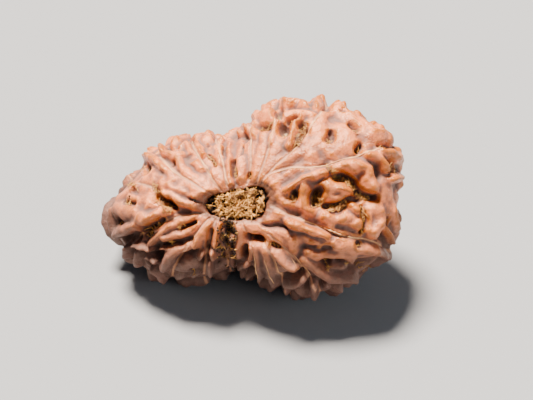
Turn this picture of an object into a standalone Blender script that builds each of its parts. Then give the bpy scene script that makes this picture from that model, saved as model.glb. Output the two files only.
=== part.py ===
"""Rudraksha seed: the stone of an oblong, many-faced rudraksha fruit, lying on its side.

The seed grew as one piece, so its stone is one closed solid.  Its stem end has an oval hole that the
dry stem fibre still fills, and its blossom end has a smaller one.  All places on the seed are in
millimetres in the seed's own frame: U runs along its length to the wide end, V across it, and W along
the axis that joins the two holes, out of the stem end.  The seed is then tipped so that W rises from
the horizontal, and is flattened a little where its folds touch the surface that it lies on.
"""

import math

import bpy
import numpy as np

MM = 0.001

# Body: the radius of the seed's waistline round the stem hole, every 15 degrees from the wide end.
WAISTLINE = (
    16.6, 17.3, 16.4, 14.5, 12.4, 9.7, 7.4, 7.1, 8.2, 9.4, 10.8, 11.6,
    13.7, 13.7, 12.7, 11.2, 9.2, 7.6, 6.9, 8.0, 10.4, 13.2, 14.8, 16.5,
)
STEM_DEPTH = 7.4
BLOSSOM_DEPTH = 8.8
SQUARENESS = 0.92
LEAN = 0.2
MEAN_RELIEF = 0.6
AXIS_RISE = math.radians(40)
REST_HEIGHT = 9.5
CENTRE_SHIFT = (-1.27, 0.05)

# The two holes: the radius of the rim every 30 degrees from the wide end, the depth, and the end.
STEM_HOLE = dict(
    rim=(3.15, 3.15, 1.95, 1.5, 1.6, 2.2, 3.45, 2.6, 1.85, 1.65, 1.85, 2.7), depth=1.9, side=1
)
BLOSSOM_HOLE = dict(
    rim=(1.7, 1.6, 1.3, 1.15, 1.2, 1.5, 1.8, 1.6, 1.3, 1.2, 1.25, 1.5), depth=1.5, side=-1
)
HOLE_SLOPE = 0.16
FIBRE_GAP = 0.36
FIBRE_SUNK = 0.35
FIBRE_CRUMB = 0.22
DIMPLE_DEPTH = 0.5
DIMPLE_RADIUS = 4.2

# Seams: the fine lines that part the seed's faces, each from the stem hole outwards, as (u, v).
SEAMS = (
    ((3.2, 3.2), (5.5, 4.0), (8.0, 3.95), (10.2, 4.3), (12.0, 4.95), (13.4, 5.3), (14.6, 5.8), (16.3, 6.0)),
    ((2.6, 2.4), (4.2, 4.2), (5.6, 5.4), (7.0, 7.1), (8.2, 8.8), (9.2, 10.0), (9.9, 10.3)),
    ((2.0, 2.2), (2.9, 4.4), (3.5, 6.4), (4.0, 8.0), (4.5, 9.9)),
    ((1.0, 2.2), (1.4, 4.4), (1.4, 6.8), (1.6, 8.4), (1.75, 9.3)),
    ((-1.2, 2.0), (-1.6, 4.0), (-2.2, 6.0), (-2.7, 7.4)),
    ((-1.9, 1.5), (-2.9, 2.8), (-4.0, 4.6), (-4.8, 5.9), (-5.5, 7.1)),
    ((-3.1, 1.1), (-5.0, 2.4), (-6.4, 3.2), (-7.8, 4.3), (-9.2, 5.6)),
    ((-7.0, -0.2), (-8.5, 0.8), (-9.4, 1.7), (-11.3, 2.2)),
    ((-3.4, -0.9), (-6.5, -1.4), (-8.2, -2.0), (-10.2, -3.1), (-12.0, -4.0)),
    ((-3.2, -1.6), (-4.8, -3.5), (-5.8, -5.0), (-7.2, -7.0), (-7.6, -8.3)),
    ((-2.4, -1.6), (-3.1, -3.2), (-3.4, -4.6), (-3.7, -6.2), (-4.0, -8.2)),
    ((-0.8, -1.8), (-0.85, -3.0), (-0.9, -5.0), (-1.3, -7.4)),
    ((0.6, -2.2), (1.7, -4.6), (2.1, -6.4), (3.0, -9.0)),
    ((2.4, -3.6), (3.8, -5.4), (4.4, -6.8), (5.1, -8.2), (5.6, -9.8)),
    ((3.4, -3.2), (5.4, -5.0), (6.6, -6.3), (7.8, -7.8), (9.2, -9.8)),
    (
        (3.4, 0.1), (5.2, -1.0), (7.0, -1.7), (9.0, -2.5), (11.0, -3.35), (13.0, -3.65), (14.6, -4.0),
        (15.8, -4.6),
    ),
)
SEAM_WIDTH = 0.3
SEAM_DEPTH = 0.25

# Folds on the stem end, read off the seed region by region: half width, height, then (u, v) points;
# a pair runs from the first point to the last, and points beyond the outline go over the edge.
FOLDS = (
    # wide end, upper edge
    ((0.62, 0.5), (1.15, 0.9), (5.35, 11.6), (5.5, 10.9), (6.6, 10.95), (7.7, 10.6)),
    ((0.5, 0.5), (1.0, 0.9), (8.9, 11.2), (8.6, 10.3)),
    (0.42, 0.55, (5.0, 9.7), (6.2, 9.95), (7.4, 9.9), (8.2, 9.6)),
    (0.38, 0.75, (7.2, 9.6), (6.6, 9.1), (6.15, 8.2), (5.9, 7.2), (5.6, 6.3)),
    (0.75, 1.0, (2.4, 9.7), (3.2, 9.75), (3.9, 9.85)),
    (0.35, 0.6, (2.0, 9.4), (1.95, 8.6), (1.9, 7.6)),
    (0.3, 0.5, (4.3, 9.4), (4.25, 8.6), (3.9, 7.6), (3.7, 6.6)),
    (0.34, 0.85, (0.55, 8.7), (0.5, 7.9)),
    (0.36, 0.95, (1.2, 9.3), (1.3, 8.2)),
    ((0.9, 1.2), (0.95, 0.6), (10.9, 10.3), (12.2, 9.4), (13.8, 8.5), (15.0, 7.6)),
    (0.7, 0.95, (14.6, 7.45), (15.7, 7.4), (16.35, 6.95)),
    (1.1, 0.55, (8.6, 8.2), (8.9, 7.0), (8.2, 5.8)),
    (1.1, 0.6, (11.4, 7.6), (11.6, 6.8), (10.6, 5.9)),
    (0.5, 0.5, (10.2, 10.1), (9.5, 9.8), (9.0, 9.2)),
    # wide end, the worm-like folds
    (
        (0.55, 0.8), (0.9, 1.35), (10.6, 3.85), (11.6, 4.1), (12.7, 4.15), (13.6, 3.85), (14.0, 3.1),
        (14.2, 2.3), (14.4, 1.8),
    ),
    (0.72, 0.5, (14.1, 1.6), (14.6, 1.7)),
    (0.5, 0.95, (14.0, 5.2), (14.9, 5.0), (15.5, 4.4), (15.9, 3.9)),
    (0.48, 1.05, (15.3, 5.5), (16.4, 5.4), (17.2, 4.9), (17.6, 3.9), (17.4, 3.0), (16.3, 2.7)),
    (0.6, 0.55, (17.4, 1.5), (17.2, 0.7), (16.8, -0.3)),
    (0.45, 0.9, (16.7, -0.8), (16.9, -2.0), (17.1, -3.3), (16.8, -4.1)),
    (0.3, 0.9, (15.8, -2.5), (16.2, -3.2), (16.6, -4.0)),
    (0.75, 1.05, (14.9, -0.4), (15.2, -1.3), (15.1, -2.3), (14.6, -3.0)),
    (0.35, 0.6, (14.05, -0.7), (14.15, -1.8), (14.1, -2.7)),
    (0.48, 1.0, (12.4, -0.2), (12.7, -0.6)),
    (1.2, 0.6, (10.4, -2.1), (12.6, -2.2)),
    (0.8, 0.6, (6.4, -3.6), (8.2, -3.9), (9.8, -4.2)),
    (0.5, 0.7, (7.6, -5.2), (8.6, -5.5), (9.3, -5.5)),
    (0.6, 0.6, (11.5, -5.4), (12.3, -5.5)),
    (0.7, 0.6, (2.2, -4.9), (3.0, -5.2)),
    (0.6, 0.5, (3.3, -7.0), (4.3, -7.2), (5.2, -7.0)),
    (0.4, 0.9, (3.0, -8.7), (3.3, -9.3)),
    (1.0, 0.55, (15.9, 1.6), (16.4, -0.6)),
    ((0.55, 0.75), (0.85, 0.85), (9.2, -1.4), (10.6, -1.5), (12.0, -1.7), (12.8, -2.1)),
    ((0.8, 0.38), (0.95, 1.1), (9.5, 1.9), (10.8, 1.75), (12.1, 1.4)),
    (0.5, 0.6, (9.7, 0.85), (10.7, 0.8), (11.4, 1.0)),
    ((0.5, 0.75), (1.0, 0.8), (7.2, 2.5), (7.1, 1.3), (7.2, 0.3), (7.6, -0.9)),
    (0.42, 1.1, (5.2, 1.5), (6.1, 2.1), (7.1, 2.6), (8.2, 3.05), (9.4, 3.3)),
    (0.4, 0.5, (5.4, 0.1), (6.2, -0.1), (7.2, -0.5)),
    (0.25, 0.4, (5.3, 3.25), (6.1, 3.7), (7.0, 3.6)),
    (0.9, 0.45, (3.8, 2.2), (4.6, 2.6), (6.0, 3.0), (7.8, 3.5)),
    (1.2, 0.55, (3.9, 1.6), (4.9, 1.0), (5.2, 0.4)),
    # above the stem hole
    (0.5, 0.35, (2.6, 3.0), (3.4, 4.6), (4.2, 6.0), (4.9, 7.2)),
    (0.4, 0.3, (2.0, 2.9), (2.4, 4.6), (2.8, 6.4), (3.0, 7.6)),
    (0.5, 0.4, (3.4, 3.2), (5.0, 4.7), (6.4, 5.4), (8.0, 5.2)),
    (0.3, 0.55, (-0.95, 5.3), (-1.05, 4.3), (-0.95, 3.2), (-0.8, 2.3)),
    (0.4, 0.5, (0.3, 5.0), (0.4, 3.9), (0.3, 2.9)),
    (0.48, 0.85, (-2.0, 7.9), (-2.1, 7.0)),
    (0.35, 0.45, (-1.1, 7.3), (-1.0, 6.3), (-1.1, 5.6)),
    (0.35, 0.45, (-2.2, 6.6), (-2.15, 5.6), (-1.9, 4.6)),
    (0.85, 0.8, (-4.4, 7.4), (-3.5, 7.3)),
    (0.32, 0.6, (-5.0, 7.4), (-4.7, 6.7), (-4.3, 5.9), (-4.0, 5.5)),
    (0.6, 0.4, (-2.5, 3.3), (-1.9, 2.5)),
    (0.35, 0.45, (-5.9, 6.6), (-5.4, 5.9), (-4.8, 4.6), (-4.0, 3.9)),
    # narrow end, upper side
    (0.6, 0.95, (-7.1, 6.7), (-6.15, 7.3)),
    (0.28, 0.5, (-7.0, 5.9), (-6.3, 6.5), (-5.8, 6.8)),
    ((0.34, 0.45), (0.95, 0.6), (-8.75, 6.2), (-8.2, 5.6), (-7.4, 5.3), (-6.5, 5.4)),
    (0.36, 0.6, (-6.8, 4.9), (-6.2, 4.0), (-5.5, 3.2), (-4.6, 2.6)),
    ((0.4, 0.45), (1.1, 0.8), (-11.4, 5.0), (-10.3, 5.15), (-9.3, 4.9), (-8.4, 4.1), (-7.7, 3.4)),
    (1.2, 0.6, (-10.0, 2.6), (-9.4, 2.8), (-8.2, 2.5)),
    (1.1, 0.95, (-7.7, 1.9), (-6.4, 1.6), (-5.0, 1.25), (-3.8, 0.9)),
    (
        (0.5, 0.35), (1.1, 0.75), (-8.0, 0.95), (-7.0, 0.7), (-6.0, 0.2), (-5.0, -0.1), (-4.0, -0.4),
        (-3.5, -0.65),
    ),
    (0.8, 0.6, (-7.4, 2.9), (-5.8, 2.6), (-4.2, 2.1), (-3.2, 1.4)),
    # narrow end, tip and lower side
    (
        (0.36, 0.3), (0.95, 0.45), (-9.7, -4.3), (-9.0, -3.75), (-8.0, -2.95), (-7.0, -2.3),
        (-6.0, -1.8), (-4.6, -1.35),
    ),
    ((0.4, 0.28), (0.85, 0.5), (-8.0, -3.75), (-7.0, -3.45), (-6.0, -3.3), (-5.2, -2.9), (-4.5, -2.3)),
    ((0.7, 0.4), (1.2, 0.9), (-10.6, -1.6), (-9.5, -1.4), (-8.3, -0.9), (-7.4, -0.7)),
    (1.2, 0.55, (-10.6, -0.2), (-9.6, 0.2)),
    (1.1, 0.4, (-8.4, -2.8), (-6.8, -2.6), (-5.0, -2.2)),
    (1.0, 0.3, (-3.8, -3.2), (-2.8, -3.4)),
    (1.4, 0.35, (2.6, -5.8), (4.6, -6.4)),
    (0.3, 0.4, (-9.8, -0.4), (-9.4, -0.4)),
    (0.8, 0.8, (-13.5, -0.6), (-12.4, -0.8), (-11.3, -1.1)),
    (0.5, 1.0, (-13.6, -3.2), (-12.5, -2.85), (-11.3, -2.3)),
    (0.42, 0.8, (-14.1, -0.8), (-14.2, -2.0), (-13.9, -3.2)),
    (0.35, 0.5, (-12.1, 0.6), (-11.3, 0.4)),
    (0.6, 0.5, (-13.4, 0.5), (-12.2, 1.3), (-11.5, 1.9)),
    (
        (0.42, 0.5), (1.5, 0.8), (-8.25, -6.85), (-7.8, -6.1), (-7.3, -5.45), (-6.6, -5.0),
        (-5.8, -4.7), (-5.2, -4.5),
    ),
    (0.16, 0.6, (-8.6, -4.95), (-7.4, -4.9)),
    ((0.5, 0.3), (1.15, 0.5), (-4.7, -4.45), (-4.1, -3.5), (-3.5, -2.7), (-3.0, -2.1)),
    ((0.22, 0.2), (0.95, 0.5), (-2.6, -4.5), (-2.4, -3.8), (-2.3, -3.1), (-2.0, -2.3)),
    (0.34, 1.0, (-2.9, -5.4), (-2.85, -5.9)),
    (0.2, 0.55, (-1.7, -3.0), (-1.5, -3.6)),
    (0.18, 0.6, (-0.7, -3.7), (-0.9, -4.3)),
    (0.2, 0.6, (-1.8, -4.6), (-1.5, -5.2)),
    (0.18, 0.5, (-0.7, -5.4), (-1.1, -5.8)),
    (0.32, 0.95, (-4.35, -5.75), (-4.0, -5.3)),
    (0.34, 1.15, (-3.25, -6.4), (-3.4, -7.5)),
    (0.7, 0.5, (-6.3, -7.0), (-5.5, -6.6)),
    (0.26, 0.7, (-5.2, -7.9), (-4.5, -7.5)),
    (0.3, 0.6, (-6.9, -8.1), (-6.4, -7.8)),
    (0.42, 1.1, (-12.35, -4.7), (-12.3, -5.6)),
    (0.36, 1.0, (-11.0, -5.3), (-11.2, -6.5)),
    (0.3, 1.05, (-11.4, -4.4), (-10.5, -4.6), (-9.6, -5.0)),
    (0.34, 0.95, (-9.9, -5.8), (-9.0, -6.2)),
    (0.4, 1.0, (-9.6, -7.0), (-8.9, -7.6), (-8.45, -8.3)),
    # below the stem hole
    (0.45, 0.5, (0.1, -2.3), (0.35, -3.4), (0.3, -4.6), (0.1, -5.8)),
    (0.7, 0.4, (0.6, -2.4), (1.6, -2.5)),
    (0.36, 1.0, (0.3, -6.8), (1.3, -6.4)),
    (0.26, 0.9, (-0.85, -6.2), (-0.6, -6.8)),
    (0.3, 0.7, (-1.1, -7.6), (-0.5, -7.7)),
    (0.22, 0.6, (1.55, -5.0), (1.5, -6.0)),
    (0.36, 1.1, (1.45, -7.6), (2.2, -8.7)),
    ((0.3, 0.4), (0.6, 1.1), (2.0, -4.6), (2.3, -5.8), (2.6, -7.1), (2.8, -7.9)),
    ((0.42, 0.5), (0.6, 0.95), (3.1, -4.7), (3.35, -6.0), (3.75, -7.3), (4.2, -8.7)),
    ((0.36, 0.46), (0.7, 1.3), (4.2, -5.2), (4.9, -6.0), (5.7, -6.6), (6.3, -6.9)),
    (0.55, 1.2, (5.5, -8.35), (6.3, -8.35), (7.1, -7.95)),
    (0.26, 0.9, (5.5, -8.2), (5.6, -9.2), (5.9, -10.2)),
    (0.7, 0.4, (3.0, -1.3), (4.0, -1.4), (4.8, -1.1)),
    (0.5, 0.5, (5.2, -3.3), (5.8, -4.0), (6.3, -4.8)),
    (0.7, 0.45, (2.9, -2.8), (4.0, -3.2), (4.8, -3.8)),
    # wide end, lower side
    (0.4, 1.1, (8.3, -8.5), (8.5, -9.8)),
    (
        (0.45, 0.55), (0.7, 1.25), (7.3, -6.1), (8.2, -6.8), (9.2, -7.5), (10.2, -7.9), (11.4, -7.9),
        (12.6, -7.8),
    ),
    (0.5, 0.5, (9.9, -5.5), (11.0, -5.4)),
    ((0.5, 0.3), (1.1, 0.9), (11.0, -8.9), (10.9, -9.9)),
    (0.3, 0.8, (9.6, -8.7), (10.8, -9.5)),
    ((0.62, 0.42), (1.4, 1.2), (5.75, -1.95), (6.6, -2.3), (7.8, -2.7), (8.9, -3.1), (9.7, -3.45)),
    ((0.9, 0.55), (0.85, 1.0), (10.6, -4.2), (12.2, -4.6), (13.6, -4.8), (14.8, -4.9)),
    (0.4, 1.2, (14.8, -4.9), (15.8, -5.3), (16.0, -6.1), (15.3, -7.1), (14.2, -7.8), (12.9, -8.2)),
    (0.28, 0.6, (12.4, -5.9), (12.2, -7.0)),
    (0.45, 0.6, (7.0, -9.7), (8.2, -10.1), (9.4, -10.2)),
)

# Pits on the stem end: radius, depth, then (u, v) points.
PITS = (
    # wide end, upper part
    (0.4, 1.1, (10.15, 7.6), (9.95, 6.8)),
    (0.36, 0.95, (12.4, 8.5), (12.75, 8.1)),
    (0.28, 0.8, (13.4, 6.3), (12.95, 5.85)),
    (0.3, 0.8, (15.4, 6.2), (16.4, 6.3)),
    (0.5, 1.3, (4.9, 8.6), (5.2, 7.9)),
    (0.38, 0.9, (5.8, 9.15), (6.2, 9.3)),
    (0.35, 0.6, (6.0, 10.6), (6.6, 10.8)),
    (0.4, 1.0, (7.0, 8.6), (7.4, 8.0)),
    (0.4, 1.3, (2.3, 8.7), (3.3, 8.75)),
    (0.16, 0.4, (11.2, 9.8), (11.6, 9.7)),
    # wide end, among the worm-like folds
    (0.3, 0.9, (6.15, 1.2), (6.05, 0.8)),
    (0.34, 1.3, (16.1, 4.5), (16.9, 3.9)),
    (0.42, 1.1, (8.9, 1.5), (8.4, 0.9), (8.25, 0.0)),
    (0.34, 1.2, (10.6, 3.0), (11.8, 2.75), (12.5, 2.3), (12.9, 1.6), (13.6, 0.95), (14.8, 0.75)),
    (0.26, 1.0, (9.4, -0.3), (10.4, -0.1), (11.2, 0.15), (12.2, 0.5), (13.2, 0.4)),
    (0.22, 0.9, (13.3, -0.4), (13.5, -1.2), (13.7, -1.9), (13.6, -2.5), (13.2, -2.9)),
    (0.22, 0.6, (10.2, -0.9), (11.0, -0.8), (11.6, -0.4)),
    (0.32, 0.8, (16.1, -1.7), (16.1, -2.1)),
    (0.5, 0.9, (14.9, 4.0), (15.1, 3.0)),
    (0.28, 0.3, (10.7, -2.3), (11.5, -2.6), (12.8, -2.9)),
    (0.4, 0.25, (3.4, 0.1), (4.6, -0.35), (6.2, -0.9), (7.8, -1.4)),
    (0.12, 0.4, (7.4, -2.0), (9.0, -2.55), (10.4, -3.15), (11.7, -3.6)),
    # wide end, lower side
    (0.55, 1.3, (12.4, -6.8), (13.4, -6.7), (14.5, -6.4)),
    (0.36, 0.8, (11.4, -6.3), (11.8, -6.6)),
    (0.36, 1.4, (9.6, -6.3), (9.9, -6.5)),
    (0.3, 0.35, (7.4, -4.6), (8.3, -4.4)),
    (0.25, 0.5, (9.4, -4.7), (9.9, -4.6)),
    (0.28, 1.0, (5.3, -7.5), (6.6, -7.45)),
    (0.3, 0.8, (12.9, -4.2), (12.95, -4.35)),
    # above the stem hole
    (0.34, 1.4, (-0.5, 4.7), (-0.3, 3.3)),
    (0.2, 0.6, (1.35, 3.3), (1.25, 2.9)),
    (0.4, 0.5, (0.7, 7.7), (0.9, 7.3)),
    (0.22, 0.4, (0.45, 6.4), (0.4, 5.5)),
    (0.24, 0.6, (-1.95, 7.25), (-1.95, 7.1)),
    (0.26, 0.55, (-1.6, 6.2), (-1.6, 5.6)),
    (0.18, 0.5, (-3.4, 5.6), (-2.9, 5.0), (-2.6, 4.3)),
    (0.16, 0.5, (-3.5, 6.7), (-3.5, 6.6)),
    (0.38, 0.45, (-5.4, 5.3), (-5.1, 5.0)),
    (0.2, 0.45, (-7.0, 6.1), (-6.8, 6.1)),
    (0.2, 0.7, (-7.2, 4.7), (-7.3, 4.3)),
    (0.34, 0.7, (-8.4, 3.4), (-7.8, 3.1)),
    (0.4, 0.8, (-10.5, 4.2), (-10.1, 3.5)),
    # narrow end
    (0.36, 1.5, (-8.6, 0.7), (-7.9, 0.2), (-7.2, -0.3)),
    (0.4, 1.0, (-13.5, -1.8), (-13.2, -2.0)),
    (0.26, 1.0, (-9.8, -2.5), (-8.9, -2.2), (-8.2, -1.7)),
    (0.3, 0.8, (-10.4, -3.3), (-9.9, -3.1)),
    (0.2, 1.0, (-6.0, -2.5), (-4.6, -2.0)),
    (0.2, 0.6, (-5.1, 0.45), (-4.2, 0.2), (-3.4, 0.0)),
    (0.32, 0.6, (-6.4, -0.95), (-5.4, -1.0)),
    (0.2, 0.7, (-2.9, -2.8), (-3.2, -3.8), (-3.4, -4.8)),
    (0.26, 0.4, (-12.5, 0.0), (-11.3, -0.05)),
    (0.26, 0.8, (-5.3, -7.25), (-5.25, -7.4)),
    # below the stem hole
    (0.2, 0.7, (-0.95, -1.9), (-1.0, -3.0)),
    (0.55, 0.9, (-1.1, -2.6), (-1.3, -4.2), (-1.2, -6.2)),
    (0.3, 1.2, (0.9, -4.9), (0.95, -5.6)),
    (0.26, 0.9, (1.4, -3.6), (2.6, -3.9)),
    (0.2, 0.8, (3.8, -4.3), (4.5, -4.7)),
    (0.3, 0.4, (2.8, -2.3), (4.0, -2.3), (5.2, -2.6)),
    # notches in the outline
    (0.3, 0.9, (-9.1, 5.3), (-9.3, 6.0)),
    (0.22, 0.6, (-7.8, 5.8), (-8.1, 6.5)),
    (0.3, 0.8, (-5.3, 6.9), (-5.6, 7.8)),
    (0.26, 0.7, (-2.7, 7.1), (-2.8, 7.9)),
    (0.5, 0.5, (-1.0, 7.6), (-0.7, 8.1)),
    (0.3, 0.7, (1.75, 9.0), (1.85, 9.9)),
    (0.36, 1.3, (4.6, 9.5), (4.7, 10.6)),
    (0.3, 0.7, (8.0, 10.6), (8.2, 11.5)),
    (0.3, 0.8, (9.7, 10.1), (10.0, 10.9)),
    (0.34, 0.6, (14.9, 8.1), (15.5, 8.5)),
)

# Broad low ground that the folds stand up from, keeping their tops: radius, depth, (u, v) points.
HOLLOWS = (
    (1.0, 0.9, (-10.4, -3.2), (-9.3, -2.7)),
    (0.6, 0.9, (-9.4, -4.9), (-8.0, -4.55), (-6.5, -4.1), (-5.0, -3.85)),
    (1.0, 0.9, (-8.9, -5.4), (-8.7, -6.1)),
    (0.9, 0.8, (-6.5, -6.0), (-5.5, -5.4), (-4.9, -5.1)),
    (1.0, 0.9, (-3.7, -6.2), (-2.2, -6.8)),
    (1.0, 0.4, (-1.2, -3.0), (-1.25, -6.4)),
    (0.8, 0.9, (1.4, -3.7), (2.4, -3.8)),
    (0.6, 1.0, (0.9, -5.2), (0.95, -5.6)),
    (1.0, 1.0, (1.2, -7.2), (3.2, -8.2)),
    (0.8, 1.1, (5.3, -7.5), (6.8, -7.5)),
    (0.7, 1.2, (7.7, -8.5), (7.8, -9.4)),
    (0.7, 1.2, (9.2, -8.7), (9.4, -9.4)),
    (1.3, 0.3, (7.2, -4.5), (9.8, -4.9)),
    (0.6, 0.5, (5.8, -3.3), (7.4, -3.5), (9.4, -4.2)),
    (1.0, 0.5, (12.6, -6.7), (14.2, -6.5)),
    (0.9, 0.8, (11.0, -6.4), (9.6, -6.3)),
    (0.8, 1.3, (-13.0, -3.95), (-11.4, -3.6)),
    (0.8, 1.1, (-10.3, -5.6), (-10.0, -6.6)),
    (0.6, 0.9, (-11.7, -5.2), (-11.8, -6.0)),
    (0.7, 0.8, (-8.6, 0.9), (-7.2, -0.4)),
    (0.8, 0.45, (8.6, 1.4), (8.4, 0.2)),
    (0.55, 0.3, (11.0, 2.9), (12.5, 2.4)),
    (0.55, 0.4, (12.9, 1.0), (14.6, 0.6)),
    (0.7, 0.6, (-5.8, -0.95), (-4.5, -1.0)),
    (0.7, 0.7, (15.6, -3.4), (16.4, -4.3)),
    (0.75, 0.5, (10.15, 7.5), (9.95, 6.9)),
    (0.6, 0.45, (12.4, 8.4), (12.75, 8.1)),
    (0.6, 0.4, (13.3, 6.3), (13.0, 5.9)),
    (0.8, 0.4, (16.1, 4.5), (16.8, 4.0)),
    (0.7, 0.4, (2.4, 8.5), (3.3, 8.6)),
)

# What the folds share: how far their skirts spread, how softly they run into one another, and how a
# slow waver bends them and swells them here and there.
FOLD_WIDEN = 2.15
FOLD_NARROWING = 0.55
FOLD_BLEND = 4.4
FOLD_ROUNDNESS = 1.6
HOLLOW_ROUNDNESS = 1.6
PIT_ROUNDNESS = 1.2
PIT_WIDEN = 1.35
SEAM_ROUNDNESS = 1.5
LOWEST_PIT = 1.9
WAVER = 0.14
WAVER_LENGTH = 2.3
WAVER_PHASES = (0.3, 2.1, 4.4)
LUMPY = 0.2
LUMP_LENGTH = 1.7
LUMP_PHASE = 5.1

# Folds and pits past the waistline, which a rule places between the seams.
BACK_SEED = 17
BACK_FROM = math.radians(101)
BACK_TO = math.radians(164)
BACK_ROW = 2.9
BACK_SPACING = 2.5
BACK_FOLD_WIDTH = (0.62, 0.85)
BACK_FOLD_WIDEN = 1.35
BACK_FOLD_HEIGHT = (0.9, 1.4)
BACK_FOLD_LENGTH = (1.1, 2.3)
BACK_FOLD_BEND = 0.6
BACK_PIT_SHARE = 0.45
BACK_PIT_RADIUS = (0.25, 0.45)
BACK_PIT_DEPTH = (0.5, 1.1)
BACK_PIT_ASIDE = 0.9
SPREAD = np.linspace(-1, 1, 6)
BEND_SHAPE = np.cos(3.4 * SPREAD)

# Mesh
COLUMNS = 320
ROWS = 170
SOFTENING = 2
STONE_FACES = 11800
FIBRE_COLUMNS = 40
FIBRE_ROWS = 12


def radius_at(angle, radii):
    """Radius at any angle of an outline given by evenly spaced radii: a smooth wave through them all."""
    count = len(radii)
    waves = np.fft.rfft(radii) / count
    order = np.arange(len(waves))
    share = np.where((order == 0) | (order * 2 == count), 1.0, 2.0)
    turns = np.exp(1j * np.multiply.outer(np.asarray(angle, float), order))
    return (turns * waves * share).real.sum(-1)


def waistline_radius(angle):
    """Radius of the waistline at any angle."""
    return radius_at(angle, WAISTLINE)


def body_point(angle, polar):
    """Place on the smooth body: angle round the axis, polar angle from the stem hole."""
    reach = waistline_radius(angle) * np.sin(polar) ** SQUARENESS
    depth = np.where(polar < math.pi / 2, STEM_DEPTH, BLOSSOM_DEPTH)
    rise = depth * np.sign(np.cos(polar)) * np.abs(np.cos(polar)) ** SQUARENESS
    u = reach * np.cos(angle)
    v = reach * np.sin(angle)
    dimple = DIMPLE_DEPTH * np.exp(-((reach / DIMPLE_RADIUS) ** 2)) * np.sign(np.cos(polar))
    return np.stack([u, v, rise - dimple + LEAN * u], -1)


def stem_place(points):
    """Angle and polar angle of points seen at (u, v), looking along the axis at the stem end.

    Points beyond the outline go over the edge by as much as they pass it.
    """
    angle = np.arctan2(points[:, 1], points[:, 0])
    share = np.hypot(points[:, 0], points[:, 1]) / (waistline_radius(angle) + MEAN_RELIEF)
    polar = np.arcsin(np.minimum(share, 2 - share) ** (1 / SQUARENESS))
    return angle, np.where(share > 1, math.pi - polar, polar)


def smooth_curve(points, cuts=3):
    """A smooth curve through the points: each stretch leaves and arrives along its neighbours' line."""
    points = np.asarray(points, float)
    if len(points) < 3:
        return points
    ends = np.concatenate([[2 * points[0] - points[1]], points, [2 * points[-1] - points[-2]]])
    share = (np.arange(cuts) / cuts)[:, None, None]
    before, start, end, after = ends[:-3], ends[1:-2], ends[2:-1], ends[3:]
    curve = start + share * 0.5 * (
        end - before
        + share * (2 * before - 5 * start + 4 * end - after + share * (3 * (start - end) + after - before))
    )
    return np.concatenate([curve.transpose(1, 0, 2).reshape(-1, points.shape[1]), points[-1:]])


def pair(value):
    return value if isinstance(value, tuple) else (value, value)


def on_stem(row, widen=1.0, narrowing=0.0):
    """A listed fold or pit laid on the body: half widths, heights and places along a smooth curve.

    The skirt of a fold spreads wider than it is listed, most of all where it is low.
    """
    curve = smooth_curve(row[2:])
    step = np.concatenate([[0], np.cumsum(np.linalg.norm(np.diff(curve, axis=0), axis=1))])
    share = step / max(step[-1], 1e-6)
    height = np.interp(share, (0, 1), pair(row[1]))
    width = np.interp(share, (0, 1), pair(row[0])) * (widen - narrowing * height)
    return width, height, body_point(*stem_place(curve))


def swelling(points, features, roundness, ground=None):
    """Smooth union of rounded ridges, each half widths, heights and path, raised over the ground."""
    total = np.zeros(len(points))
    ground = np.zeros(len(points)) if ground is None else ground
    for width, height, path in features:
        low = path.min(0) - width.max()
        high = path.max(0) + width.max()
        near = np.flatnonzero(((points > low) & (points < high)).all(1))
        if not len(near):
            continue
        at = points[near]
        lift = np.zeros(len(near))
        for place in range(len(path) - 1):
            along = path[place + 1] - path[place]
            share = np.clip((at - path[place]) @ along / max(along @ along, 1e-9), 0, 1)
            gap = np.linalg.norm(at - path[place] - share[:, None] * along, axis=1)
            apart = gap / (width[place] + (width[place + 1] - width[place]) * share)
            top = height[place] + (height[place + 1] - height[place]) * share + ground[near]
            lift = np.maximum(lift, top * np.clip(1 - apart**2, 0, 1) ** roundness)
        total[near] += np.expm1(FOLD_BLEND * lift)
    return np.log1p(total) / FOLD_BLEND


def waver(points, length, phase):
    """A slow, even waver in three directions: sums of sines, none a multiple of another."""
    turn = points * (math.tau / length)
    a, b, c = turn[:, 0], turn[:, 1], turn[:, 2]
    first = np.sin(a + 0.7 * np.sin(1.31 * b + phase) + phase) * np.cos(0.83 * c - phase)
    second = np.sin(1.17 * b - 0.6 * c + 2 * phase) * np.cos(0.9 * a + phase)
    return 0.6 * first + 0.4 * second


def seam_angles():
    """Angle of each seam where it crosses the waistline, with one more at the wide end, in order."""
    angles = [math.atan2(seam[-1][1], seam[-1][0]) % math.tau for seam in SEAMS]
    return sorted(angles + [math.radians(2)])


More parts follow.
